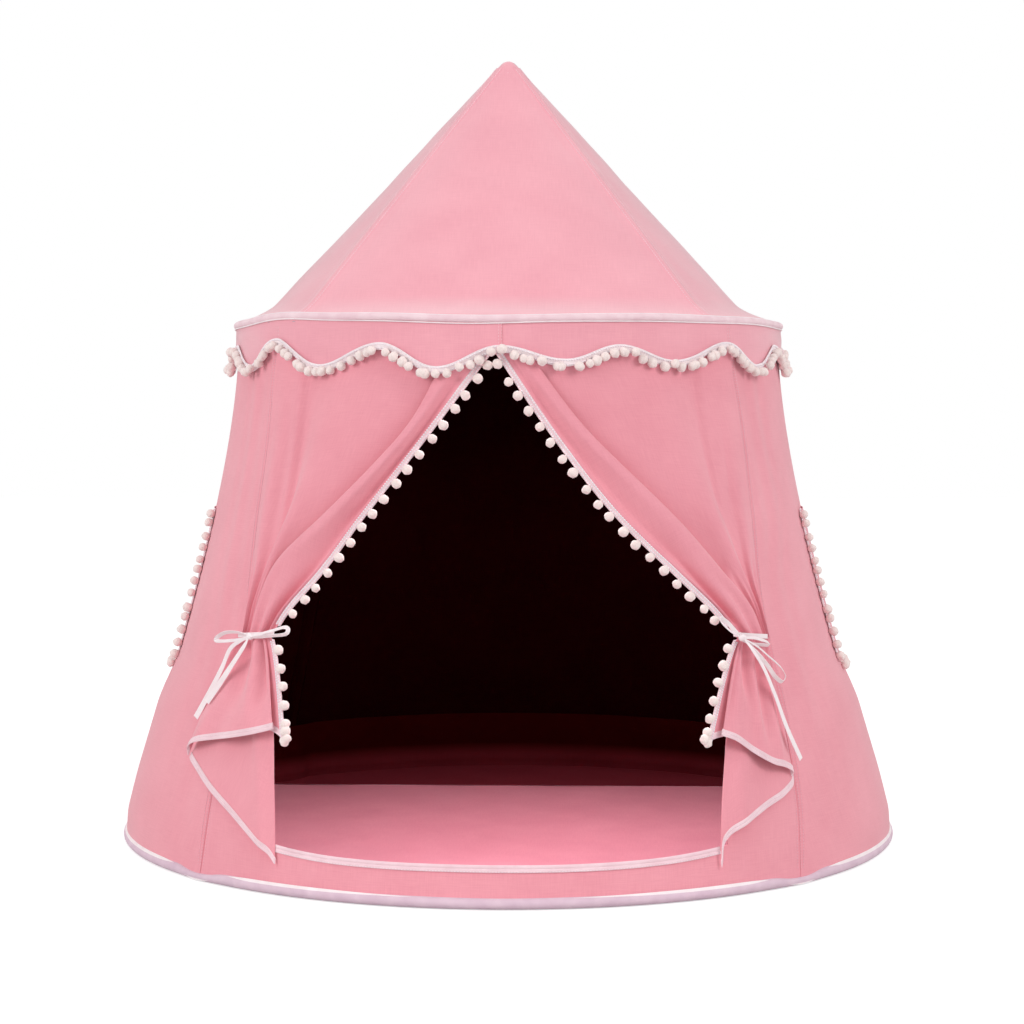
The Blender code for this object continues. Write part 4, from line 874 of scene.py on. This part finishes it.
def valance_line(azimuth):
    """The middle of the valance's tape: scallops as photographed in front, and even behind."""
    turns = list(VALANCE_TURNS)
    gap = (360 - (turns[-1][0] - turns[0][0])) / 24
    for number in range(1, 24):
        turns.append((turns[8][0] + gap * number, 0.7205 if number % 2 else 0.7515))
    turns.append((turns[0][0] + 360, turns[0][1]))
    spots, levels = np.array(turns).T
    azimuth = (azimuth - spots[0]) % 360 + spots[0]
    low = np.clip(np.searchsorted(spots, azimuth, side="right") - 1, 0, len(spots) - 2)
    share = (azimuth - spots[low]) / (spots[low + 1] - spots[low])
    return mix(levels[low], levels[low + 1], (1 - np.cos(math.pi * share)) / 2)


def valance_out(azimuth, height):
    """How far the valance stands out from the wall: it swings out between its seams at its edge."""
    down = (WALL_TOP - height) / 0.06
    wave = ripple(np.radians(azimuth) * VALANCE_RADIUS, height * 0, 0.16, 51)
    swing = 0.0045 + 0.0030 * down + 0.0018 * down * wave
    crease = 0.0007 * ripple(np.radians(azimuth) * 0.12, height, 0.022, 52)
    meet = smooth(np.minimum(azimuth % 360, 360 - azimuth % 360) / 3)
    return swing * mix(0.9, 1.0, meet) + crease * smooth(down / 0.3) * meet


def valance():
    azimuths = np.linspace(0.0, 360.6, 640)[None]
    edge = valance_line(azimuths) - 0.001
    rows = np.linspace(0, 1, 22)[:, None]
    height = mix(WALL_TOP + 0.001 + eave_rise(azimuths), edge, rows)
    azimuth = azimuths + 0 * height
    lapped = 0.0012 * smooth((azimuths - 358.5) / 1.4)
    points = place(azimuth, WALL_TOP_RADIUS + valance_out(azimuth % 360, height) + lapped, height)
    band = Piece("valance", PINK_PAINTED_LIGHTER, PINK_PAINTED_LIGHTER, SEAM_THREAD)
    band.shell(points, CLOTH, uv=np.stack([np.radians(azimuth) * VALANCE_RADIUS, height], -1))
    rows = []
    for line in (0.35, 50.3, 309.7, 135, 225):
        for shift in (-0.28, 0.28):
            level = np.linspace(WALL_TOP - 0.003, valance_line(np.array([line]))[0], 20)
            out = valance_out(np.full(20, line), level) + (0.0015 if line < 1 else 0.0003)
            rows.append(place(line + shift, WALL_TOP_RADIUS + out, level))
    sew(band, rows, 2)
    azimuth = np.linspace(0.0, 360.0, 900)
    height = valance_line(azimuth)
    middle = place(azimuth, WALL_TOP_RADIUS + valance_out(azimuth, height) + 0.0016, height)
    normals = outward(middle)
    slope = np.abs(np.gradient(height, np.radians(azimuth) * VALANCE_RADIUS))
    roll = np.radians(28) * smooth(slope / 0.45)
    tape = trim("valance_trim", "tent", middle, beside(middle, normals, (0, 0, -1)), normals, width=0.0110,
                pitch=0.0152, first=0.004, jitter=0.0056, seed=7, droop=1.2, roll=roll, flips=0.11, drop=0.50,
                root=0.15, ground=TAPE_WHITE)
    made = band.done()


# The door curtains

# Distances below the eave at which the curtains' fold lines are given
CURTAIN_DROPS = (0.020, 0.177, 0.282, 0.357, 0.415, 0.451)
FREE_AZIMUTHS = {"left": (-0.9, 14.8, 25.0, 31.5, 37.4, 39.6), "right": (-2.4, 11.6, 22.0, 31.1, 38.1, 41.4)}
# Each line: its share of the way from the seam to the free edge at each drop, and in millimetres how
# far it stands out at the top, halfway and at the tie
CURTAIN_LINES = {
    "left": (
        ((0.0,) * 6, (1.5, 1.5, 3)),
        ((0.10, 0.12, 0.13, 0.12, 0.08, 0.06), (3, 9, 10)),
        ((0.27, 0.27, 0.29, 0.24, 0.17, 0.13), (1.5, -6, 1)),
        ((0.45, 0.44, 0.41, 0.31, 0.24, 0.21), (5, 15, 12)),
        ((0.66, 0.64, 0.56, 0.38, 0.31, 0.29), (3, 7, 1)),
        ((0.84, 0.90, 0.77, 0.47, 0.42, 0.40), (0, -4, 0)),
        ((0.82, 0.87, 0.70, 0.40, 0.36, 0.35), (3, 15, 10)),
        ((0.88, 0.92, 0.81, 0.60, 0.57, 0.57), (7, 22, 14)),
        ((0.94, 0.955, 0.92, 0.85, 0.79, 0.77), (2, 4, 1)),
        ((0.97, 0.982, 0.97, 0.94, 0.91, 0.90), (3, 11, 10)),
        ((1.0,) * 6, (2.5, 9, 8)),
    ),
    "right": (
        ((0.0,) * 6, (1.5, 1.5, 3)),
        ((0.10, 0.12, 0.12, 0.10, 0.07, 0.05), (3, 8, 9)),
        ((0.24, 0.24, 0.22, 0.17, 0.11, 0.10), (1.5, -5, 1)),
        ((0.42, 0.42, 0.36, 0.27, 0.16, 0.14), (5, 14, 11)),
        ((0.62, 0.61, 0.52, 0.38, 0.22, 0.20), (3, 3, 1)),
        ((0.92, 0.85, 0.70, 0.55, 0.36, 0.34), (2.5, -4, 0)),
        ((0.90, 0.825, 0.655, 0.50, 0.30, 0.28), (4, 13, 10)),
        ((0.94, 0.88, 0.75, 0.66, 0.55, 0.54), (8, 20, 14)),
        ((0.965, 0.94, 0.895, 0.83, 0.79, 0.77), (4, 4, 1)),
        ((0.98, 0.975, 0.96, 0.94, 0.91, 0.90), (5, 11, 10)),
        ((1.0,) * 6, (5, 9, 8)),
    ),
}
HEM_WIDTH = 0.0085
# How much faster a curtain's return turns in just below the tie
RETURN_BEND = {"left": 1.12, "right": 1.38}
# Azimuths between which a tie band shows round the gathered curtain
TIE_AZIMUTHS = {"left": (47.0, 38.9), "right": (47.8, 40.6)}
# The hem of the part that goes back to the jamb: share, azimuth and height
RETURN_HEMS = {
    "left": ((0.0, 0.08, 0.22, 0.42, 0.62, 0.82, 0.93, 1.0), (54.2, 51.4, 46.6, 40.0, 34.2, 31.8, 31.1, 30.8),
             (0.157, 0.147, 0.1255, 0.0958, 0.066, 0.053, 0.046, 0.0415)),
    "right": ((0.0, 0.08, 0.20, 0.42, 0.62, 0.80, 0.91, 1.0),
              (47.7, 47.2, 45.0, 40.5, 36.3, 32.9, 31.8, 31.3),
              (0.148, 0.135, 0.1235, 0.109, 0.0935, 0.079, 0.065, 0.040)),
}


def curtain_section(side, drop):
    """The fold lines at distances below the eave: shares turned to azimuths, and how far they stand out."""
    lines = CURTAIN_LINES[side]
    shares = through(CURTAIN_DROPS, np.array([line[0] for line in lines]).T, drop)
    outs = through((CURTAIN_DROPS[0], CURTAIN_DROPS[2], CURTAIN_DROPS[5]),
                   np.array([line[1] for line in lines]).T / 1000, drop)
    height = EAVE_HEIGHT - drop
    seam_line = seam_azimuth(side, height)[:, None] - 0.25
    free = through(CURTAIN_DROPS, FREE_AZIMUTHS[side], drop)[:, None]
    return mix(seam_line, free, shares), outs


def fine_lines(count, spacing=11):
    return np.linspace(0, count - 1, (count - 1) * spacing + 1)


def curtain_grid(side, sign):
    """The curtain from the valance to its tie."""
    drop = np.linspace(CURTAIN_DROPS[0], CURTAIN_DROPS[5], 130)
    azimuths, outs = curtain_section(side, drop)
    fine = fine_lines(azimuths.shape[1])
    numbers = np.arange(azimuths.shape[1])
    azimuth = through(numbers, azimuths.T, fine).T
    out = through(numbers, outs.T, fine).T
    height = (EAVE_HEIGHT - drop)[:, None] + 0 * azimuth
    share = (fine / fine[-1])[None]
    near_tie = smooth((drop - 0.30) / 0.13)[:, None]
    pleats = 0.0046 * np.sin(share * 2 * math.pi * 8 + 4 * drop[:, None])
    pleats = pleats * near_tie * smooth((1 - share) / 0.1)
    chord = 0.007 * np.sin(math.pi * np.clip(drop / CURTAIN_DROPS[5], 0, 1))[:, None]
    chord = chord * smooth((share - 0.55) / 0.4)
    u = np.radians(azimuth) * 0.45
    slack = 0.0012 * ripple(u + height * 0.5, height * 0.4, 0.10, 60 + int(sign))
    slack = slack * smooth(drop / 0.06)[:, None]
    seams = front_seams(height)
    clear = wall_relief(sign * azimuth, height, seams) + 0.0016
    clear = mix(-0.010, clear, smooth((azimuth - jamb_azimuth(height) + 4.0) / 2.8))
    spare = out + pleats + slack - chord - clear
    out = clear + (spare + np.sqrt(spare ** 2 + 0.0022 ** 2)) / 2
    out = mix(np.minimum(out, 0.0026), out, smooth((drop - 0.048) / 0.05)[:, None])
    return place(sign * azimuth, wall_radius(height) + out, height)


def return_surface(side, sign, share, down):
    """The curtain below its tie, which goes back to the jamb behind the tail."""
    tie_azimuths, tie_outs = curtain_section(side, np.array([CURTAIN_DROPS[5]]))
    numbers = np.arange(tie_azimuths.shape[1])
    top_azimuth = through(numbers, tie_azimuths[0], share * numbers[-1])
    top_out = through(numbers, tie_outs[0], share * numbers[-1])
    shares, hem_azimuths, hem_heights = RETURN_HEMS[side]
    hem_azimuth, hem_height = through(shares, hem_azimuths, share), through(shares, hem_heights, share)
    turned_in = np.where(down > 1, down, 1 - np.clip(1 - down, 0, 1) ** RETURN_BEND[side])
    azimuth = mix(top_azimuth, hem_azimuth, turned_in)
    height = mix(EAVE_HEIGHT - CURTAIN_DROPS[5], hem_height, down)
    opened = smooth(down / 0.5)
    fold = 0.0060 * np.exp(-((share - 0.66) / 0.09) ** 2) - 0.0040 * np.exp(-((share - 0.40) / 0.12) ** 2)
    soft = 0.0035 + 0.0060 * smooth((down - 0.45) / 0.5) * np.sin(math.pi * share) ** 0.5
    soft = soft + fold * mix(1.2, 0.4, np.clip(down, 0, 1))
    out = mix(top_out * mix(1, 0.55, smooth(down / 0.2)), soft, opened)
    return place(sign * azimuth, wall_radius(height) + out, height)


def hem_tape(piece, surface, count):
    """Stitched tape folded over the hem of a surface that is given by share and down."""
    shares, lift = np.linspace(0.0, 1.0, count), 0.0007
    top, foot = surface(shares, np.full(len(shares), 0.9)), surface(shares, np.ones(len(shares)))
    per_metre = 0.1 / np.maximum(np.linalg.norm(foot - top, axis=1), 1e-4)
    rows = np.linspace(0, 1, 9)
    down = 1 + per_metre[None] * (rows[:, None] * (HEM_WIDTH + 0.0008) - HEM_WIDTH)
    grid = surface(shares[None] + 0 * down, down)
    normals, _ = grid_normals(grid)
    grid = grid + normals * (0.0006 * np.abs(np.sin(2 * math.pi * rows)) ** 0.5)[:, None, None]
    piece.shell(grid, 2 * lift + CLOTH, 2, lift=lift)
    line = surface(shares, 1 - per_metre * HEM_WIDTH * 0.62)
    normals, _ = grid_normals(grid)
    sew(piece, [line + normals[2] * (lift + 0.0003)], 3)


def curtain(side, sign):
    upper = curtain_grid(side, sign)
    share = fine_lines(len(CURTAIN_LINES[side])) / (len(CURTAIN_LINES[side]) - 1)
    down = np.linspace(0, 1, 70)[1:, None]
    lower = return_surface(side, sign, share[None] + 0 * down, down + 0 * share[None])
    grid = np.concatenate([upper, lower])
    cloth = Piece("curtain_" + side, PINK, PINK, HEM_TAPE, WHITE_THREAD)
    cloth.shell(grid, CLOTH)
    hem_tape(cloth, lambda share, down: return_surface(side, sign, share, down), 90)
    edge = upper[4:-6, -1]
    normals = outward(edge)
    tape = trim("curtain_trim_" + side, "tent", edge + normals * 0.0008, beside(edge, normals, (-sign, 0, 0)),
                normals, width=0.0092, pitch=0.0262, first=0.030, jitter=0.0022, seed=11 + int(sign),
                droop=0.25)
    made = cloth.done()


# The tails: for each line its azimuth, height and stand-out in millimetres at the hem, then at the tie
# its azimuth and stand-out
TAIL_LINES = {
    "left": (
        (53.8, 0.1620, 7, 45.8, 9), (53.1, 0.1750, 15, 45.2, 12), (50.0, 0.1862, 23, 44.4, 14),
        (46.2, 0.1932, 16, 43.6, 11), (41.9, 0.2005, 22, 42.6, 14), (37.8, 0.2088, 21, 41.4, 13),
        (34.5, 0.2175, 16, 40.6, 12), (35.8, 0.2160, 9, 41.0, 9), (34.2, 0.2110, 7, 39.9, 8),
        (32.8, 0.2055, 9, 39.0, 9),
    ),
    "right": (
        (46.9, 0.1450, 6, 46.6, 9), (46.7, 0.1522, 12, 46.0, 12), (44.6, 0.1610, 18, 45.2, 14),
        (42.1, 0.1684, 20, 44.2, 12), (39.4, 0.1842, 14, 43.2, 14), (36.2, 0.2036, 19, 42.2, 13),
        (33.9, 0.2127, 17, 41.6, 12), (35.4, 0.2110, 9, 42.0, 9), (33.6, 0.2085, 7, 41.4, 8),
        (32.1, 0.2065, 10, 41.0, 9),
    ),
}
# Each pleat of a tail: its share across at the tie and how far that drifts by the hem, its width, how
# far it stands out in millimetres, and how far down it reaches
TAIL_PLEATS = {
    "left": ((0.60, -0.03, 0.050, -11.0, 0.95), (0.50, 0.04, 0.050, 5.0, 1.1),
             (0.40, 0.02, 0.060, -9.0, 0.85), (0.29, 0.04, 0.055, 4.0, 1.0),
             (0.18, 0.02, 0.050, -5.0, 0.8), (0.09, 0.02, 0.040, 2.5, 0.9)),
    "right": ((0.60, 0.02, 0.035, -5.0, 1.0), (0.49, -0.05, 0.045, -10.0, 0.70), (0.40, 0.0, 0.035, 4.0, 1.1),
              (0.31, 0.02, 0.040, -6.0, 1.0), (0.22, 0.02, 0.035, 3.5, 1.1), (0.13, 0.02, 0.035, -4.0, 1.0)),
}


def tail_surface(side, sign, share, down):
    """The front of the curtain below its tie, fanning out to its hem."""
    lines = np.array(TAIL_LINES[side])
    numbers = np.arange(len(lines))
    at = through(numbers, lines, share * numbers[-1])
    azimuth = mix(at[..., 3], at[..., 0], np.clip(down, 0, 2) ** 0.75)
    height = mix(TIE_HEIGHT + 0.002, at[..., 1], down)
    out = mix(at[..., 4], at[..., 2], smooth(down)) / 1000
    for spot, drift, wide, deep, reach in TAIL_PLEATS[side]:
        line = spot + drift * down
        fold = deep / 1000 * np.exp(-((share - line) / wide) ** 2)
        out = out + fold * smooth(down / 0.05) * smooth((reach - down) / 0.4)
    return place(sign * azimuth, wall_radius(height) + out + 0.003, height)


def tail(side, sign):
    share = np.linspace(0, 1, 110)
    down = np.linspace(0, 1, 60)[:, None]
    grid = tail_surface(side, sign, share[None] + 0 * down, down + 0 * share[None])
    cloth = Piece("curtain_tail_" + side, PINK, PINK, HEM_TAPE, WHITE_THREAD)
    cloth.shell(grid, CLOTH)
    hem_tape(cloth, lambda share, down: tail_surface(side, sign, share, down), 120)
    made = cloth.done(cloth.name)
    edge = grid[2:, -1]
    normals = outward(edge)
    tape = trim("tail_trim_" + side, cloth.name, edge + normals * 0.0006,
                beside(edge, normals, (-sign, 0, 0)), normals, width=0.0085, pitch=0.0265, first=0.017,
                jitter=0.0012, seed=21 + int(sign), droop=0.3, at_end=True)


def tie_band(side, sign):
    """The ribbon round the gathered curtain."""
    outer, inner = TIE_AZIMUTHS[side]
    band = Piece("tie_band_" + side, TAPE_WHITE)
    turns = np.linspace(0, 2 * math.pi, 61)
    wide, deep = (outer - inner) / 2, 0.0088
    along = np.sign(np.cos(turns)) * np.abs(np.cos(turns)) ** 0.5
    off = np.sign(np.sin(turns)) * np.abs(np.sin(turns)) ** 0.6
    azimuth = (outer + inner) / 2 - wide * along
    rows = np.linspace(-0.5, 0.5, 5)[:, None]
    height = TIE_HEIGHT + 0.004 + rows * 0.0065 + 0.0035 * along[None]
    radius = wall_radius(TIE_HEIGHT) + 0.0095 + deep * off[None] + 0 * rows
    grid = place(sign * azimuth[None], radius, height)
    band.shell(grid, TAPE, away=grid - on_wall(sign * (outer + inner) / 2, TIE_HEIGHT, 0.0095))
    band.done()


# Bows: loops and ends as azimuth, height and stand-out in millimetres along the ribbon
BOW_RIBBONS = {
    "left": (
        ((42.3, 0.339, 25), (45.0, 0.3425, 27), (48.2, 0.3405, 27), (50.3, 0.334, 26), (51.0, 0.328, 26),
         (50.0, 0.3265, 27), (47.5, 0.3285, 28), (44.8, 0.332, 28), (42.5, 0.337, 26)),
        ((42.3, 0.338, 25), (40.0, 0.343, 25), (37.6, 0.349, 24), (35.6, 0.3545, 21), (35.0, 0.352, 18),
         (35.3, 0.3455, 19), (37.5, 0.3425, 24), (40.0, 0.3395, 26), (42.3, 0.337, 26)),
        ((42.5, 0.336, 27), (44.0, 0.331, 29), (46.3, 0.318, 27), (47.6, 0.291, 25), (49.3, 0.2600, 24),
         (51.0, 0.2350, 22), (52.3, 0.2165, 21)),
        ((42.3, 0.335, 28), (42.6, 0.325, 30), (44.6, 0.297, 30), (47.0, 0.268, 28), (49.4, 0.2415, 26)),
    ),
    "right": (
        ((40.5, 0.339, 25), (42.6, 0.3385, 27), (44.6, 0.334, 27), (45.9, 0.3300, 26), (46.0, 0.3265, 26),
         (44.2, 0.3285, 28), (42.2, 0.3310, 27), (40.5, 0.336, 26)),
        ((40.4, 0.340, 25), (39.6, 0.348, 24), (38.4, 0.3615, 22), (37.2, 0.3690, 20), (37.4, 0.3620, 19),
         (38.6, 0.350, 22), (40.2, 0.341, 25)),
        ((40.7, 0.338, 27), (42.8, 0.3270, 30), (44.9, 0.3120, 30), (47.2, 0.2960, 29), (48.1, 0.2830, 28),
         (46.9, 0.2755, 29), (45.3, 0.2850, 31), (44.0, 0.3010, 32), (42.4, 0.3190, 31), (40.9, 0.3350, 28)),
        ((40.6, 0.338, 28), (41.6, 0.3230, 31), (43.3, 0.2950, 31), (44.8, 0.2550, 29), (46.0, 0.2130, 27),
         (47.8, 0.1680, 25)),
    ),
}
RIBBON_WIDTH = 0.0062
KNOTS = {"left": (42.3, 0.3385), "right": (40.5, 0.3400)}


def bow(side, sign):
    """A ribbon bow on the tie: a knot, its loops and two ends."""
    made = Piece("bow_" + side, TAPE_WHITE)
    for points in BOW_RIBBONS[side]:
        azimuths, heights, outs = np.array(points).T
        knots = np.arange(len(points))
        fine = np.linspace(0, knots[-1], 12 * knots[-1] + 1)
        azimuth, height = through(knots, azimuths, fine), through(knots, heights, fine)
        out = through(knots, outs, fine) / 1000
        path = place(sign * azimuth, wall_radius(height) + out, height)
        tangents, facing = tangents_of(path), outward(path)
        across = unit(np.cross(tangents, facing))
        loop = np.allclose(points[0][:2], points[-1][:2], atol=4)
        tilt = math.radians(48 if loop else 12)
        edge_on = unit(across * math.cos(tilt) + facing * math.sin(tilt))
        taper = mix(0.55, 1.0, smooth(fine / 1.2))
        if loop:
            taper = taper * mix(0.55, 1.0, smooth((knots[-1] - fine) / 1.2))
        else:
            taper = taper * mix(0.8, 1.5, smooth(fine / knots[-1]))
        steps = np.linspace(-0.5, 0.5, 5)
        grid = path + edge_on * (steps[:, None, None] * RIBBON_WIDTH * taper[:, None])
        made.shell(grid, 0.0007, away=np.cross(tangents, edge_on))
    azimuth, height = KNOTS[side]
    half_length, thickness, stand_out = 0.0052, 0.0046, 0.0245
    turns = np.linspace(-1, 1, 9)
    radius = thickness * np.sqrt(1 - (turns * 0.93) ** 2) + 0.0004
    azimuths = azimuth + np.degrees(turns * half_length / 0.52)
    knot = place(sign * azimuths, wall_radius(TIE_HEIGHT) + stand_out, height + 0.0012 * turns)
    made.tube(knot, radius, sides=12)
    made.done("curtain_tail_" + side)


# Side windows


def window(side, sign):
    """Netting behind the window, and the tape bound round it."""
    middle = sign * 90
    net = Piece("window_netting_" + side, NET)
    # About 4 mm between threads, where real netting has 1 mm: drawn coarser so that it shows
    angles = np.linspace(-WINDOW_HALF_ANGLE - 1.5, WINDOW_HALF_ANGLE + 1.5, 46)
    heights = np.linspace(WINDOW_BOTTOM - 0.009, WINDOW_TOP + 0.009, 50)
    for angle in angles:
        levels = np.linspace(heights[0], heights[-1], 10)
        net.tube(on_wall(middle + angle, levels, -0.0026), 0.00035, up=(0.1, 0.2, 0), sides=3)
    for level in heights:
        spread = np.linspace(angles[0], angles[-1], 9)
        net.tube(on_wall(middle + spread, level, -0.0030), 0.00035, sides=3)
    net.done()
    frame_tape = Piece("window_binding_" + side, TAPE_WHITE, WHITE_THREAD)
    width = 0.012
    degrees = math.degrees(width / 0.49)
    low, high = WINDOW_BOTTOM, WINDOW_TOP
    half = WINDOW_HALF_ANGLE
    for first, last, foot, top in ((-half - degrees, half + degrees, high, high + width),
                                   (-half - degrees, half + degrees, low - width, low),
                                   (-half - degrees, -half, low, high), (half, half + degrees, low, high)):
        wide = abs(last - first) > 2 * degrees
        turn = np.linspace(first, last, 40 if wide else 6)[None]
        level = np.linspace(foot, top, 6 if wide else 40)[:, None]
        cross = (level - foot) / (top - foot) if wide else (turn - first) / (last - first)
        out = 0.0010 + 0.0005 * np.sin(math.pi * cross)
        frame_tape.shell(on_wall(middle + turn, level, out), 0.0008)
        rows = []
        for share in (0.15, 0.85):
            if wide:
                rows.append(on_wall(middle + turn[0], mix(foot, top, share), 0.0012))
            else:
                rows.append(on_wall(middle + mix(first, last, share), level[:, 0], 0.0012))
        sew(frame_tape, rows, 1)
    frame_tape.done()


def flap_point(sign, across, down):
    """A point of the flap's outer face: across -1 to 1, down 0 at its seam to 1 at its foot."""
    height = mix(FLAP_TOP, FLAP_FOOT, down)
    wave = 0.0004 * (1 + np.sin(across * 4.5 + 1)) * np.clip(down, 0, 1)
    radius = wall_radius(height) + mix(0.0030, 0.0014, smooth((np.abs(across) - 0.93) / 0.05)) + wave
    y = across * FLAP_HALF_WIDTH
    x = sign * np.sqrt(radius ** 2 - y ** 2)
    return np.stack(np.broadcast_arrays(x, y, height), -1)


def window_flap(side, sign):
    across, down = np.linspace(-1, 1, 60)[None], np.linspace(0, 1, 60)[:, None]
    corner = 0.12
    pinch = 1 - 0.06 * smooth((down - (1 - corner)) / corner) ** 2
    cloth = Piece("window_flap_" + side, PINK, PINK, THREAD)
    cloth.shell(flap_point(sign, across * pinch, down + 0 * across), CLOTH, away=(sign, 0, 0))
    sew(cloth, [flap_point(sign, across[0], np.full(60, 0.03)) + (sign * 0.0003, 0, 0)], 2)
    made = cloth.done(cloth.name)
    turns = np.linspace(0, math.pi / 2, 9)
    bend = 0.012
    length = FLAP_TOP - FLAP_FOOT
    x = np.concatenate([np.full(20, 1.0), 1 - bend / FLAP_HALF_WIDTH * (1 - np.cos(turns))])
    y = np.concatenate([np.linspace(0.005, 1 - bend / length, 20), 1 - bend / length * (1 - np.sin(turns))])
    foot = np.linspace(-0.86, 0.86, 30)
    middle = flap_point(sign, np.concatenate([-x, foot, x[::-1]]), np.concatenate([y, np.ones(30), y[::-1]]))
    middle = middle[np.concatenate([[True], np.linalg.norm(np.diff(middle, axis=0), axis=1) > 1e-4])]
    normals = outward(middle) + (0, 0, 0.25)
    away = beside(middle, normals, middle - flap_point(sign, 0.0, 0.5))
    tape = trim("window_flap_trim_" + side, cloth.name, middle + normals * 0.0003, away, unit(normals),
                width=0.0095, pitch=0.0185, first=0.004, jitter=0.003, seed=31, droop=0.2, outset=0.0052)


def sleeves():
    """Cloth channels that hold the wall poles, sewn to the walls' inner faces."""
    turns = np.linspace(-1, 1, 15)[None]
    height = np.linspace(0.085, WALL_TOP - 0.035, 60)[:, None]
    for side, sign in SIDES:
        for end, azimuth in (("front", 45.0), ("back", 135.0)):
            corner = end + "_" + side
            channel = Piece("pole_sleeve_" + corner, LINING)
            bulge = np.sqrt(np.clip(1 - turns ** 2, 0, 1))
            depth = 0.0024 + (0.0128 + 0.003 * smooth((0.13 - height) / 0.05)) * bulge
            across = np.degrees((0.0085 * turns + 0.0055 * turns ** 5) / wall_radius(height))
            grid = place(sign * azimuth + across, wall_radius(height) - depth, height)
            channel.shell(grid, CLOTH, away=grid * (-1, -1, 0))
            made = channel.done()


def paint_frame():
    """The frame's own pieces keep their shape and get their finishes."""
    for starts, finish in ((("roof_pole", "wall_pole"), ROD), (("eave_hoop", "base_hoop"), STEEL),
                           (("eave_connector", "foot_cup", "apex_hub"), MOULDED)):
        for name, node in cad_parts.items():
            if name.startswith(starts):
                node.data.materials.clear()
                node.data.materials.append(finish)


# The studio


def in_view(tree):
    """1 where the camera sees something straight, by reflection or through glass."""
    path = add(tree, "ShaderNodeLightPath").outputs
    seen = add(tree, "ShaderNodeMath", {0: path["Is Camera Ray"], 1: path["Is Glossy Ray"]},
               operation="MAXIMUM")
    return add(tree, "ShaderNodeMath", {0: seen.outputs[0], 1: path["Is Transmission Ray"]},
               operation="MAXIMUM").outputs[0]


def studio_floor():
    """A pale floor that takes the tent's shadow and shows as white."""
    floor_mesh = bpy.data.meshes.new("studio_floor")
    size = 12.0
    floor_mesh.from_pydata([(-size, -size, -0.0002), (size, -size, -0.0002), (size, size, -0.0002),
                            (-size, size, -0.0002)], [], [(0, 1, 2, 3)])
    floor = bpy.data.objects.new("studio_floor", floor_mesh)
    bpy.context.scene.collection.objects.link(floor)
    material, tree, shader = new_finish("pale_studio_floor", 0.9, Specular_IOR_Level=0.1)
    shader.inputs["Base Color"].default_value = linear("#d0cece")
    seen = in_view(tree)
    glow = add(tree, "ShaderNodeEmission", {"Color": (1, 1, 1, 1), "Strength": 0.62})
    empty = add(tree, "ShaderNodeEmission", {"Color": (0, 0, 0, 1), "Strength": 0.0})
    lit = add(tree, "ShaderNodeMixShader", {0: seen, 1: empty.outputs[0], 2: glow.outputs[0]})
    both = add(tree, "ShaderNodeAddShader", {0: shader.outputs[0], 1: lit.outputs[0]})
    tree.links.new(both.outputs[0], tree.nodes["Material Output"].inputs[0])
    floor_mesh.materials.append(material)


def studio_world():
    """Light from all round, brighter from above, behind which the camera sees white."""
    world = bpy.data.worlds.new("studio_world")
    bpy.context.scene.world = world
    world.use_nodes = True
    tree = world.node_tree
    background = tree.nodes["Background"]
    seen = in_view(tree)
    skyward = add(tree, "ShaderNodeSeparateXYZ", {0: add(tree, "ShaderNodeTexCoord").outputs["Generated"]})
    soft = add(tree, "ShaderNodeMapRange", {0: skyward.outputs[2], "From Min": -0.1, "From Max": 0.9,
                                            "To Min": 0.38, "To Max": 0.74}).outputs[0]
    level = add(tree, "ShaderNodeMapRange", {0: seen, "To Min": soft, "To Max": 1.0})
    tree.links.new(level.outputs[0], background.inputs["Strength"])
    background.inputs["Color"].default_value = (1, 1, 1, 1)


def studio_lamps():
    """Two soft boxes, and a lamp under the roof, tinted as by the cloth, for the groundsheet."""
    for name, spot, aim, size, power, colour in (
            ("key_softbox", (-4.2, -3.3, 2.5), (0, 0, 0.55), 2.6, 121.0, (1, 1, 1)),
            ("fill_softbox", (4.2, -2.8, 2.8), (0, 0, 0.60), 2.6, 107.0, (1, 1, 1)),
            ("door_reflector", (0.06, -0.12, 0.80), (0.05, -0.40, 0), 0.25, 4.9, (1.0, 0.84, 0.87))):
        data = bpy.data.lights.new(name, "AREA")
        data.shape, data.size, data.energy, data.color = "SQUARE", size, power, colour
        lamp = bpy.data.objects.new(name, data)
        bpy.context.scene.collection.objects.link(lamp)
        lamp.location = spot
        lamp.rotation_euler = (Vector(aim) - Vector(spot)).to_track_quat("-Z", "Y").to_euler()


def camera():
    """A level camera, whose lens is shifted down to frame the tent as photographed."""
    picture, sensor = 1024, 36.0
    distance, height, turn = 3.563, 0.670, math.radians(1.9)
    horizon_row, axis_column, focal_pixels = 402, 508.5, 2253
    data = bpy.data.cameras.new("photograph_view")
    data.sensor_width, data.lens = sensor, focal_pixels / picture * sensor
    data.shift_y = -(picture / 2 - horizon_row) / picture
    made = bpy.data.objects.new("photograph_view", data)
    bpy.context.scene.collection.objects.link(made)
    made.location = (distance * math.sin(turn), -distance * math.cos(turn), height)
    aside = math.atan((picture / 2 - axis_column) / focal_pixels)
    made.rotation_euler = (math.pi / 2, 0.0, turn - aside)
    bpy.context.scene.camera = made


bpy.context.scene.view_settings.view_transform = "Standard"
camera()
studio_floor()
studio_world()
studio_lamps()
for number, (label, azimuth) in enumerate((("front", 0), ("right", 90), ("back", 180), ("left", -90))):
    dishing = RIGHT_GORE_DISHING if label == "right" else ROOF_DISHING
    roof_gore("roof_panel_" + label, azimuth, number, dishing)
apex_cap()
build_walls()
front_wall()
sill_binding()
eave_casing()
base_casing()
groundsheet()
valance()
for side, sign in SIDES:
    curtain(side, sign)
    tail(side, sign)
    tie_band(side, sign)
    bow(side, sign)
    window(side, sign)
    window_flap(side, sign)
sleeves()
paint_frame()
